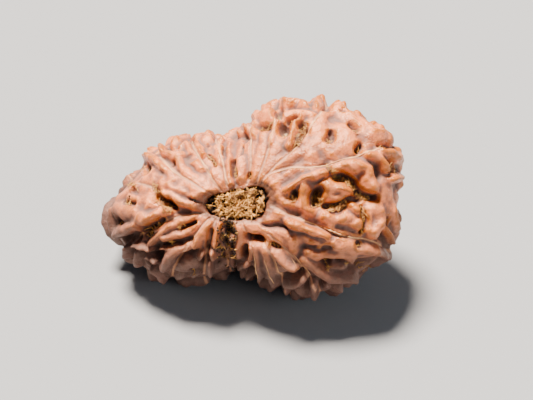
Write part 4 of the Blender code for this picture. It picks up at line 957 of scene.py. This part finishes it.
# Dark gaps in the stem fibre: (u, v), radius and depth.
fibreGaps = (
    (-2.5, -0.35, 0.28, 0.9), (-2.6, 0.2, 0.24, 0.9), (-3.2, 0.1, 0.22, 0.9), (-1.4, 0.35, 0.18, 0.6),
    (0.2, 0.55, 0.26, 0.8), (0.7, 0.75, 0.26, 0.9), (2.2, 0.9, 0.27, 1.0), (2.9, 0.2, 0.22, 0.8),
    (1.85, -0.85, 0.22, 0.9), (2.3, -1.2, 0.22, 0.9), (-0.7, -1.3, 0.24, 0.6), (-1.7, -0.8, 0.2, 0.6),
    (0.9, -0.6, 0.16, 0.5), (1.6, 0.1, 0.16, 0.5), (-0.4, -0.1, 0.16, 0.5),
)


# Height along w of the smooth surface over a hole, at places (u, v) near the axis.
def holeLevel(places, side):
    angle = np.arctan2(places[:, 1], places[:, 0])
    share = np.hypot(places[:, 0], places[:, 1]) / waistlineRadius(angle)
    polar = np.arcsin(share ** (1 / body["squareness"]))
    return bodyPoint(angle, polar if side > 0 else math.pi - polar)[:, 2]


# The crumbly top of a wad of fibre at (u, v): the level over the hole, sunk, roughened by three waves
# of falling length, and lower still in the dark gaps.
def wadTop(places, hole):
    rough = np.concatenate([places, np.zeros((len(places), 1))], 1)
    lift = sum(share * waver(rough, length, phase) for share, length, phase in plugs["waves"])
    level = plugs["crumble"] * lift - plugs["sunk"]
    if hole is stemHole:
        for u, v, radius, depth in fibreGaps:
            apart = np.hypot(places[:, 0] - u, places[:, 1] - v) / radius
            level = level - depth * np.exp(-(apart**2))
    return holeLevel(places, hole["side"]) + hole["side"] * level


# How far points in or over a hole lie below the level that its fibre fills it to.
def depthInHole(points, hole):
    level = holeLevel(points[:, :2] + nearPole, hole["side"]) - hole["side"] * plugs["sunk"]
    return hole["side"] * (level - points[:, 2])


# The wad of fibre in a hole: rings of the hole's outline, from its middle to its wall, then down.
def buildWad(name, hole, finish):
    angle = np.arange(plugs["columns"]) * math.tau / plugs["columns"]
    clear = 1 - holeEdge["slope"] * plugs["upSlope"]
    wall = radiusAt(angle, hole["rim"]) * clear - plugs["clearOfWall"]
    shares = np.r_[np.linspace(plugs["innerRing"], 1, plugs["rings"]), plugs["floorRings"]]
    reach = shares[:, None] * wall
    places = np.stack([reach * np.cos(angle), reach * np.sin(angle)], -1).reshape(-1, 2)
    top = wadTop(places, hole).reshape(len(shares), -1)
    edge = smoothStep(plugs["edge"], 1.0, shares[:-2])[:, None] * plugs["edgeDrop"]
    top[:-2] -= hole["side"] * edge
    floor = holeLevel(places, hole["side"]).reshape(len(shares), -1) - hole["side"] * plugs["wadDepth"]
    top[-2:] = floor[-2:]
    points = np.concatenate([places, top.reshape(-1, 1)], 1)
    rows = points.reshape(len(shares), -1, 3)
    points = np.concatenate([points, rows[:1].mean(1), rows[-1:].mean(1)])
    quads, fans = wrappedFaces(plugs["columns"], len(shares))
    if hole["side"] < 0:
        quads, fans = quads[:, ::-1], fans[:, ::-1]
    piece = makeMesh(name, toWorld(points), quads, fans, finish)
    # low is the depth below the fibre's level; the finish darkens it as painted shade.
    addAttribute(piece, "low", depthInHole(points, hole))
    return piece


# Loose strands and lumps over the wad, spread evenly but for a clear edge.
def buildWadTop(name, hole, share, finish):
    draw = np.random.default_rng(plugs["seed"] + hole["side"])
    count = round(plugs["strands"] * share)
    lumpCount = round(plugs["lumps"] * share)
    angle = draw.uniform(0, math.tau, count + lumpCount)
    evenly = np.sqrt(draw.uniform(0, 1, count + lumpCount))
    reach = radiusAt(angle, hole["rim"]) * plugs["spread"] * evenly
    places = np.stack([reach * np.cos(angle), reach * np.sin(angle)], 1)
    points = np.concatenate([places, wadTop(places, hole)[:, None]], 1)
    normals = np.tile((0.0, 0.0, float(hole["side"])), (len(points), 1))
    starts = points[:count] + normals[:count] * draw.uniform(*plugs["strandLift"], (count, 1))
    paths, radii = strands(draw, starts, normals[:count], draw.uniform(*plugs["strandLength"], count))
    tubePoints, tubeQuads, caps = tubes(paths, radii * plugs["strandGirth"])
    sizes = plugs["lumpSize"] * draw.uniform(*plugs["lumpSizes"], lumpCount)
    lumpPoints, lumpQuads, fans = lumps(draw, points[count:], sizes)
    strandPiece = makeMesh(name + "_strands", toWorld(tubePoints), tubeQuads, caps, finish)
    lumpPiece = makeMesh(name + "_lumps", toWorld(lumpPoints), lumpQuads, fans, finish)
    # low is the depth below the fibre's level; the finish darkens it as painted shade.
    for piece, made in ((strandPiece, tubePoints), (lumpPiece, lumpPoints)):
        addAttribute(piece, "low", depthInHole(made, hole) - plugs["topLift"])
    return [strandPiece, lumpPiece]


# Fine pale lines that stand on the skin: half thickness, then (u, v) points.
seamLines = (
    (
        0.085, (7.5, 3.8), (9.0, 4.05), (10.0, 4.3), (11.0, 4.65), (12.0, 4.9), (13.7, 5.4),
        (14.5, 5.75), (15.3, 5.8),
    ),
    (0.05, (4.2, 3.4), (5.5, 3.75), (6.5, 3.85), (7.5, 3.8)),
    (
        0.085, (8.0, -2.1), (9.0, -2.4), (10.0, -2.8), (11.0, -3.2), (12.0, -3.5), (13.0, -3.65),
        (14.0, -3.8),
    ),
    (0.05, (7.0, -1.75), (7.5, -1.9), (8.0, -2.1)),
    (0.05, (14.0, -3.8), (15.0, -4.2), (15.7, -4.6)),
    (0.06, (5.5, 5.4), (6.5, 6.2), (7.0, 7.0), (7.5, 7.6), (8.0, 8.3), (8.5, 9.0), (9.0, 9.6), (9.5, 10.2)),
    (0.045, (1.3, 6.5), (1.5, 7.5), (1.6, 8.3), (1.7, 9.5)),
    (0.05, (4.2, 9.5), (4.1, 8.5), (3.6, 6.8), (3.4, 5.8)),
    (0.05, (-5.3, 7.1), (-5.0, 6.4), (-4.5, 5.5), (-4.0, 4.7), (-3.4, 3.9), (-2.8, 2.6), (-2.2, 1.9)),
    (0.05, (-9.0, 5.3), (-8.2, 4.6), (-7.5, 3.9), (-6.5, 3.1), (-5.2, 2.6)),
    (0.045, (-2.6, 7.3), (-2.2, 6.5), (-2.1, 5.5), (-1.7, 4.5), (-1.4, 3.0), (-1.0, 2.2)),
    (0.04, (3.2, -5.8), (3.6, -6.8), (3.9, -7.5), (4.3, -8.4)),
    (0.04, (4.2, -6.2), (4.6, -7.1), (4.9, -7.8)),
    (0.04, (6.1, -5.5), (6.8, -6.3), (7.4, -7.0), (8.0, -7.8)),
    (0.035, (2.0, -5.2), (2.3, -6.3), (2.7, -7.6)),
    (0.035, (5.9, -5.9), (6.5, -6.7), (7.1, -7.5)),
)


lineShape = {
    "cuts": 8,
    "sides": 6,
    "middle": 1.05,
    "taper": 0.6,
    "uneven": 0.25,
    "swings": 37,
    "standing": 0.4,
}


# Each line is a tube along a smooth curve that lies on the surface, thinner towards both its ends by the
# fourth power of the way from its middle, and thicker and thinner in turn along it.
def buildSeamLines(finish):
    allPoints, allQuads, allCaps, done = [], [], [], 0
    for row in seamLines:
        curve = smoothCurve(row[1:], lineShape["cuts"])
        surface, normals = onSurface(curve)
        share = np.linspace(-1, 1, len(curve))
        swing = 1 + lineShape["uneven"] * np.sin(share * lineShape["swings"] + row[1][0])
        radii = row[0] * (lineShape["middle"] - lineShape["taper"] * share**4) * swing
        path = surface + normals * radii[:, None] * lineShape["standing"]
        points, quads, caps = tubes(path[None], radii[None], lineShape["sides"])
        allPoints.append(points)
        allQuads.append(quads + done)
        allCaps.append(caps + done)
        done += len(points)
    points, quads, caps = (np.concatenate(part) for part in (allPoints, allQuads, allCaps))
    return makeMesh("seam_lines", toWorld(points), quads, caps, finish)


# Materials

def addNode(tree, kind, **settings):
    node = tree.nodes.new(kind)
    for name, value in settings.items():
        setattr(node, name, value)
    return node


def plug(tree, value, socket):
    if isinstance(value, bpy.types.NodeSocket):
        tree.links.new(value, socket)
    else:
        socket.default_value = value


def attribute(tree, name):
    return addNode(tree, "ShaderNodeAttribute", attribute_name=name).outputs["Fac"]


# A value carried from one range to another along an S curve, and held at both ends.
def remap(tree, value, low, high, bottom=0.0, top=1.0):
    node = addNode(tree, "ShaderNodeMapRange", interpolation_type="SMOOTHSTEP")
    plug(tree, value, node.inputs["Value"])
    for name, number in (("From Min", low), ("From Max", high), ("To Min", bottom), ("To Max", top)):
        node.inputs[name].default_value = number
    return node.outputs["Result"]


def maths(tree, kind, first, second):
    node = addNode(tree, "ShaderNodeMath", operation=kind)
    plug(tree, first, node.inputs[0])
    plug(tree, second, node.inputs[1])
    return node.outputs[0]


def mixColour(tree, share, first, second):
    node = addNode(tree, "ShaderNodeMix", data_type="RGBA")
    plug(tree, share, node.inputs[0])
    plug(tree, first, node.inputs[6])
    plug(tree, second, node.inputs[7])
    return node.outputs[2]


def noise(tree, place, scale, detail=3.0, roughness=0.55):
    node = addNode(tree, "ShaderNodeTexNoise")
    plug(tree, place, node.inputs["Vector"])
    node.inputs["Scale"].default_value = scale
    node.inputs["Detail"].default_value = detail
    node.inputs["Roughness"].default_value = roughness
    return node.outputs["Fac"]


def bump(tree, height, distance, strength):
    node = addNode(tree, "ShaderNodeBump")
    plug(tree, height, node.inputs["Height"])
    node.inputs["Distance"].default_value = distance
    node.inputs["Strength"].default_value = strength
    return node.outputs["Normal"]


def newMaterial(name):
    made = bpy.data.materials.new(name)
    made.use_nodes = True
    tree = made.node_tree
    place = addNode(tree, "ShaderNodeTexCoord").outputs["Object"]
    return made, tree, tree.nodes["Principled BSDF"], place


# Colours first. Each "from" says between which values a colour comes in: of mottle less hollowness for
# pale, of hollowness for crest, brown, groove and crease, of millimetres over the body for dip and deep, of
# metres over the floor for the painted low shade and its patches, and of millimetres of depth for pits.
# Seams and rims go by the share of their depth and width, and the last two numbers are the least and most
# of the colour there.
stoneFinish = {
    "skin": (0.37, 0.098, 0.036, 1),
    "pale": (0.80, 0.222, 0.076, 1),
    "amber": (0.44, 0.112, 0.010, 1),
    # The next four colours are painted shade: low down, in hollows, creases, dips, pits and round the
    # holes, and near black where the skin lies deepest.
    "lowShade": (0.128, 0.055, 0.042, 1),
    "brown": (0.190, 0.082, 0.064, 1),
    "groove": (0.095, 0.047, 0.037, 1),
    "deep": (0.036, 0.019, 0.014, 1),
    "dust": (0.42, 0.27, 0.12, 1),
    "seamLine": (0.86, 0.38, 0.19, 1),
    "patchScale": 260.0,
    "fineScale": 1400.0,
    "patchShare": 0.65,
    "fineShare": 0.35,
    "paleFrom": (0.44, 0.80),
    "crestFrom": (-0.02, -0.19),
    "brownFrom": (-0.08, 0.26),
    "grooveFrom": (0.16, 0.6),
    "dipFrom": (-0.05, -0.65),
    "deepFrom": (-0.6, -1.3),
    "lowShadeFrom": (0.0132, 0.0062),
    "creaseFrom": (-0.12, 0.22),
    "patchyLowShadeFrom": (0.0112, 0.0085),
    "patchyLowShadeSpots": (0.45, 0.58),
    "patchyLowShadeShare": 0.6,
    "pitEdgeFrom": (0.3, 0.8),
    "pitFrom": (0.5, 1.3),
    "dustPatches": (0.5, 0.62),
    "seamFrom": (0.15, 0.9, 0.0, 0.45),
    "rimFrom": (0.1, 0.8, 0.0, 0.8),
    "roughness": (0.20, 0.38),
    "roughPatches": (0.3, 0.7),
    "dullness": 0.4,
    "dullFrom": (-0.1, 0.15),
    "underDullness": 0.3,
    "specular": 0.8,
    "sheenTint": (1.0, 0.72, 0.54, 1),
    "wrinkleScale": 2200.0,
    "wrinkleDepth": 0.0003,
    "wrinkleStrength": 0.6,
    "glow": 0.12,
    "glowReach": (1.0, 0.4, 0.2),
    "glowDepth": 0.0008,
}


# Skin is pinkish tan, paler in patches and amber along the crests of folds. The pale patches fade in
# hollows, and purple-brown there is painted shade. It is duller low down, and painted shade makes it
# browner there and darker in patches. It is dark in pits, painted shade, with some dust of its own there;
# near black where it lies deepest and darker round the holes, both painted shade; and pale along the seams.
def stoneMaterial():
    made, tree, shader, place = newMaterial("seed_skin")
    look = stoneFinish
    tight = attribute(tree, "tight")
    hollow = maths(tree, "ADD", tight, attribute(tree, "broad"))
    lift = attribute(tree, "lift")
    pit = attribute(tree, "pit")
    axes = addNode(tree, "ShaderNodeSeparateXYZ")
    tree.links.new(place, axes.inputs["Vector"])
    overFloor = axes.outputs["Z"]
    patches = maths(tree, "MULTIPLY", noise(tree, place, look["patchScale"]), look["patchShare"])
    fine = noise(tree, place, look["fineScale"], detail=4.0)
    mottle = maths(tree, "ADD", patches, maths(tree, "MULTIPLY", fine, look["fineShare"]))

    # Pale patches are the skin's own mottle; they fade in hollows, which is painted shade.
    paleShare = remap(tree, maths(tree, "SUBTRACT", mottle, hollow), *look["paleFrom"])
    # Painted shade: the skin goes darker towards the floor.
    lowShade = remap(tree, overFloor, *look["lowShadeFrom"])
    crease = remap(tree, hollow, *look["creaseFrom"])
    # Painted shade: darker in patches of mottle low down.
    patchyLowShade = remap(tree, overFloor, *look["patchyLowShadeFrom"])
    patchyLowShade = maths(tree, "MULTIPLY", patchyLowShade, remap(tree, mottle, *look["patchyLowShadeSpots"]))
    inPit = remap(tree, pit, *look["pitFrom"])
    dust = remap(tree, fine, *look["dustPatches"])

    colour = mixColour(tree, paleShare, look["skin"], look["pale"])
    for share, name in (
        (remap(tree, tight, *look["crestFrom"]), "amber"),
        # Painted shade: browner and darker in hollows.
        (remap(tree, hollow, *look["brownFrom"]), "brown"),
        (remap(tree, hollow, *look["grooveFrom"]), "groove"),
        # Painted shade: darker where the skin lies below the body, near black where it lies deepest.
        (remap(tree, lift, *look["dipFrom"]), "groove"),
        (remap(tree, lift, *look["deepFrom"]), "deep"),
        # Painted shade low down, and darker still in creases there.
        (lowShade, "lowShade"),
        (maths(tree, "MULTIPLY", lowShade, crease), "groove"),
        # Painted shade in patches low down.
        (maths(tree, "MULTIPLY", patchyLowShade, look["patchyLowShadeShare"]), "groove"),
        # Painted shade in pits; the dust in them is the seed's own.
        (remap(tree, pit, *look["pitEdgeFrom"]), "brown"),
        (inPit, "groove"),
        (maths(tree, "MULTIPLY", inPit, dust), "dust"),
        (remap(tree, attribute(tree, "seam"), *look["seamFrom"]), "seamLine"),
        # Painted shade round the holes' rims.
        (remap(tree, attribute(tree, "rim"), *look["rimFrom"]), "groove"),
    ):
        colour = mixColour(tree, share, colour, look[name])
    tree.links.new(colour, shader.inputs["Base Color"])

    roughness = remap(tree, fine, *look["roughPatches"], *look["roughness"])
    dull = remap(tree, hollow, *look["dullFrom"], 0.0, look["dullness"])
    roughness = maths(tree, "ADD", roughness, dull)
    roughness = maths(tree, "ADD", roughness, maths(tree, "MULTIPLY", lowShade, look["underDullness"]))
    tree.links.new(roughness, shader.inputs["Roughness"])
    wrinkles = noise(tree, place, look["wrinkleScale"], detail=4.0, roughness=0.7)
    wrinkled = bump(tree, wrinkles, look["wrinkleDepth"], look["wrinkleStrength"])
    tree.links.new(wrinkled, shader.inputs["Normal"])
    shader.inputs["Specular IOR Level"].default_value = look["specular"]
    shader.inputs["Specular Tint"].default_value = look["sheenTint"]
    shader.inputs["Subsurface Weight"].default_value = look["glow"]
    shader.inputs["Subsurface Radius"].default_value = look["glowReach"]
    shader.inputs["Subsurface Scale"].default_value = look["glowDepth"]
    return made


fibreFinish = {
    "light": (0.70, 0.33, 0.066, 1),
    "dark": (0.21, 0.076, 0.014, 1),
    # gap is painted shade, deep in the wads.
    "gap": (0.03, 0.014, 0.006, 1),
    "patchScale": 1600.0,
    "patchFrom": (0.35, 0.65),
    "gapFrom": (-0.06, 0.24),
    "roughness": 0.8,
}


# Dry fibre: golden, browner in patches, and near black low down in the wads, which is painted shade;
# crumbs go darker at random through the same attribute.
def fibreMaterial():
    made, tree, shader, place = newMaterial("dry_fibre")
    patches = noise(tree, place, fibreFinish["patchScale"], detail=4.0)
    share = remap(tree, patches, *fibreFinish["patchFrom"])
    gap = remap(tree, attribute(tree, "low"), *fibreFinish["gapFrom"])
    colour = mixColour(tree, share, fibreFinish["dark"], fibreFinish["light"])
    tree.links.new(mixColour(tree, gap, colour, fibreFinish["gap"]), shader.inputs["Base Color"])
    shader.inputs["Roughness"].default_value = fibreFinish["roughness"]
    return made


seamFinish = {
    "cream": (0.86, 0.46, 0.20, 1),
    "brown": (0.46, 0.19, 0.07, 1),
    "patchScale": 700.0,
    "patchFrom": (0.35, 0.6),
    "roughness": 0.9,
}


# Seam lines: cream, browner in patches.
def seamMaterial():
    made, tree, shader, place = newMaterial("seam_cream")
    share = remap(tree, noise(tree, place, seamFinish["patchScale"]), *seamFinish["patchFrom"])
    colour = mixColour(tree, share, seamFinish["brown"], seamFinish["cream"])
    tree.links.new(colour, shader.inputs["Base Color"])
    shader.inputs["Roughness"].default_value = seamFinish["roughness"]
    return made


# Set: camera, lights and floor

photo = {
    "width": 533,
    "height": 400,
    "pixelsPerMm": 9.5,
    "holePixel": (238, 204),
    "distance": 220.0,
    "sensorWidth": 36,
    "nearest": 0.01,
}


# The camera looks straight down the seed's axis from the stem end, and the hole's middle falls on
# its pixel of the photograph.
def placeCamera():
    hole = toWorld(bodyPoint(np.zeros(1), np.array([nearPole])))[0]
    rise = body["axisRise"]
    acrossAxis = Vector((1, 0, 0))
    upAxis = Vector((0, math.sin(rise), math.cos(rise)))
    backAxis = Vector((0, -math.cos(rise), math.sin(rise)))
    right = (photo["width"] / 2 - photo["holePixel"][0]) / photo["pixelsPerMm"] * mm
    up = (photo["holePixel"][1] - photo["height"] / 2) / photo["pixelsPerMm"] * mm
    aim = Vector(hole) + acrossAxis * right + upAxis * up
    camera = bpy.data.objects.new("camera", bpy.data.cameras.new("camera"))
    bpy.context.scene.collection.objects.link(camera)
    camera.location = aim + backAxis * photo["distance"] * mm
    camera.rotation_euler = (math.pi / 2 - rise, 0, 0)
    camera.data.sensor_width = photo["sensorWidth"]
    camera.data.lens = photo["sensorWidth"] * photo["distance"] * photo["pixelsPerMm"] / photo["width"]
    camera.data.clip_start = photo["nearest"]
    bpy.context.scene.camera = camera


# Key: a far, wide, soft light, so that it falls evenly on the whole floor. Fill: a weak cool panel.
keyLight = {
    "place": (-0.07, 0.085, 0.33),
    "width": math.radians(18),
    "strength": 20.0,
    "colour": (1.0, 0.93, 0.84),
}
fillLight = {
    "place": (0.26, -0.22, 0.16),
    "size": 0.22,
    "power": 0.5,
    "colour": (0.90, 0.95, 1.0),
}
lightsAim = Vector((0, 0, 0.01))
surroundings = {
    "colour": (0.66, 0.82, 1.0, 1),
    "strength": 0.16,
    "seenColour": (0.95, 0.95, 0.94, 1),
    "seenStrength": 1.4,
}


def addLight(name, kind, settings):
    lamp = bpy.data.lights.new(name, kind)
    lamp.color = settings["colour"]
    made = bpy.data.objects.new(name, lamp)
    bpy.context.scene.collection.objects.link(made)
    made.location = settings["place"]
    towards = lightsAim - made.location
    made.rotation_euler = towards.to_track_quat("-Z", "Y").to_euler()
    return lamp


# The surroundings light the seed weakly, and look pale behind the floor.
def placeLights():
    key = addLight("key", "SUN", keyLight)
    key.energy = keyLight["strength"]
    key.angle = keyLight["width"]
    fill = addLight("fill", "AREA", fillLight)
    fill.energy = fillLight["power"]
    fill.size = fillLight["size"]
    world = bpy.data.worlds.new("studio")
    bpy.context.scene.world = world
    world.use_nodes = True
    tree = world.node_tree
    background = tree.nodes["Background"]
    seen = addNode(tree, "ShaderNodeLightPath").outputs["Is Camera Ray"]
    colour = mixColour(tree, seen, surroundings["colour"], surroundings["seenColour"])
    strength = remap(tree, seen, 0.0, 1.0, surroundings["strength"], surroundings["seenStrength"])
    tree.links.new(colour, background.inputs["Color"])
    tree.links.new(strength, background.inputs["Strength"])


floorFinish = {"colour": (0.27, 0.27, 0.275, 1), "roughness": 0.9, "reach": 2}


# A flat square, four metres wide, at the height that the seed lies on.
def placeFloor():
    finish = bpy.data.materials.new("pale_floor")
    finish.use_nodes = True
    shader = finish.node_tree.nodes["Principled BSDF"]
    shader.inputs["Base Color"].default_value = floorFinish["colour"]
    shader.inputs["Roughness"].default_value = floorFinish["roughness"]
    corners = np.array([(-1, -1, 0), (1, -1, 0), (1, 1, 0), (-1, 1, 0)], float) * floorFinish["reach"]
    floor = makeMesh("floor", corners, np.array([[0, 1, 2, 3]]), np.zeros((0, 3), int), finish)


# Making

placeCamera()
placeLights()
placeFloor()
print("set placed")

skin = stoneMaterial()
dryFibre = fibreMaterial()
cream = seamMaterial()


def addPiece(piece):
    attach(piece, "root")


stonePiece = buildStone(skin)
addPiece(stonePiece)
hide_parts("stone")
print("stone made")

lines = buildSeamLines(cream)
addPiece(lines)
print("seam lines made")

for name, node, hole, share in (
    ("stem_wad", "stem_fibre", stemHole, 1.0),
    ("blossom_wad", "blossom_fibre", blossomHole, 0.3),
):
    wad = buildWad(name, hole, dryFibre)
    addPiece(wad)
    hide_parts(node)
    for piece in buildWadTop(name, hole, share, dryFibre):
        addPiece(piece)
print("fibre in the holes made")

for piece in (buildTufts(dryFibre), buildCrumbs(dryFibre)):
    addPiece(piece)
print("fibre in pits and grooves made")
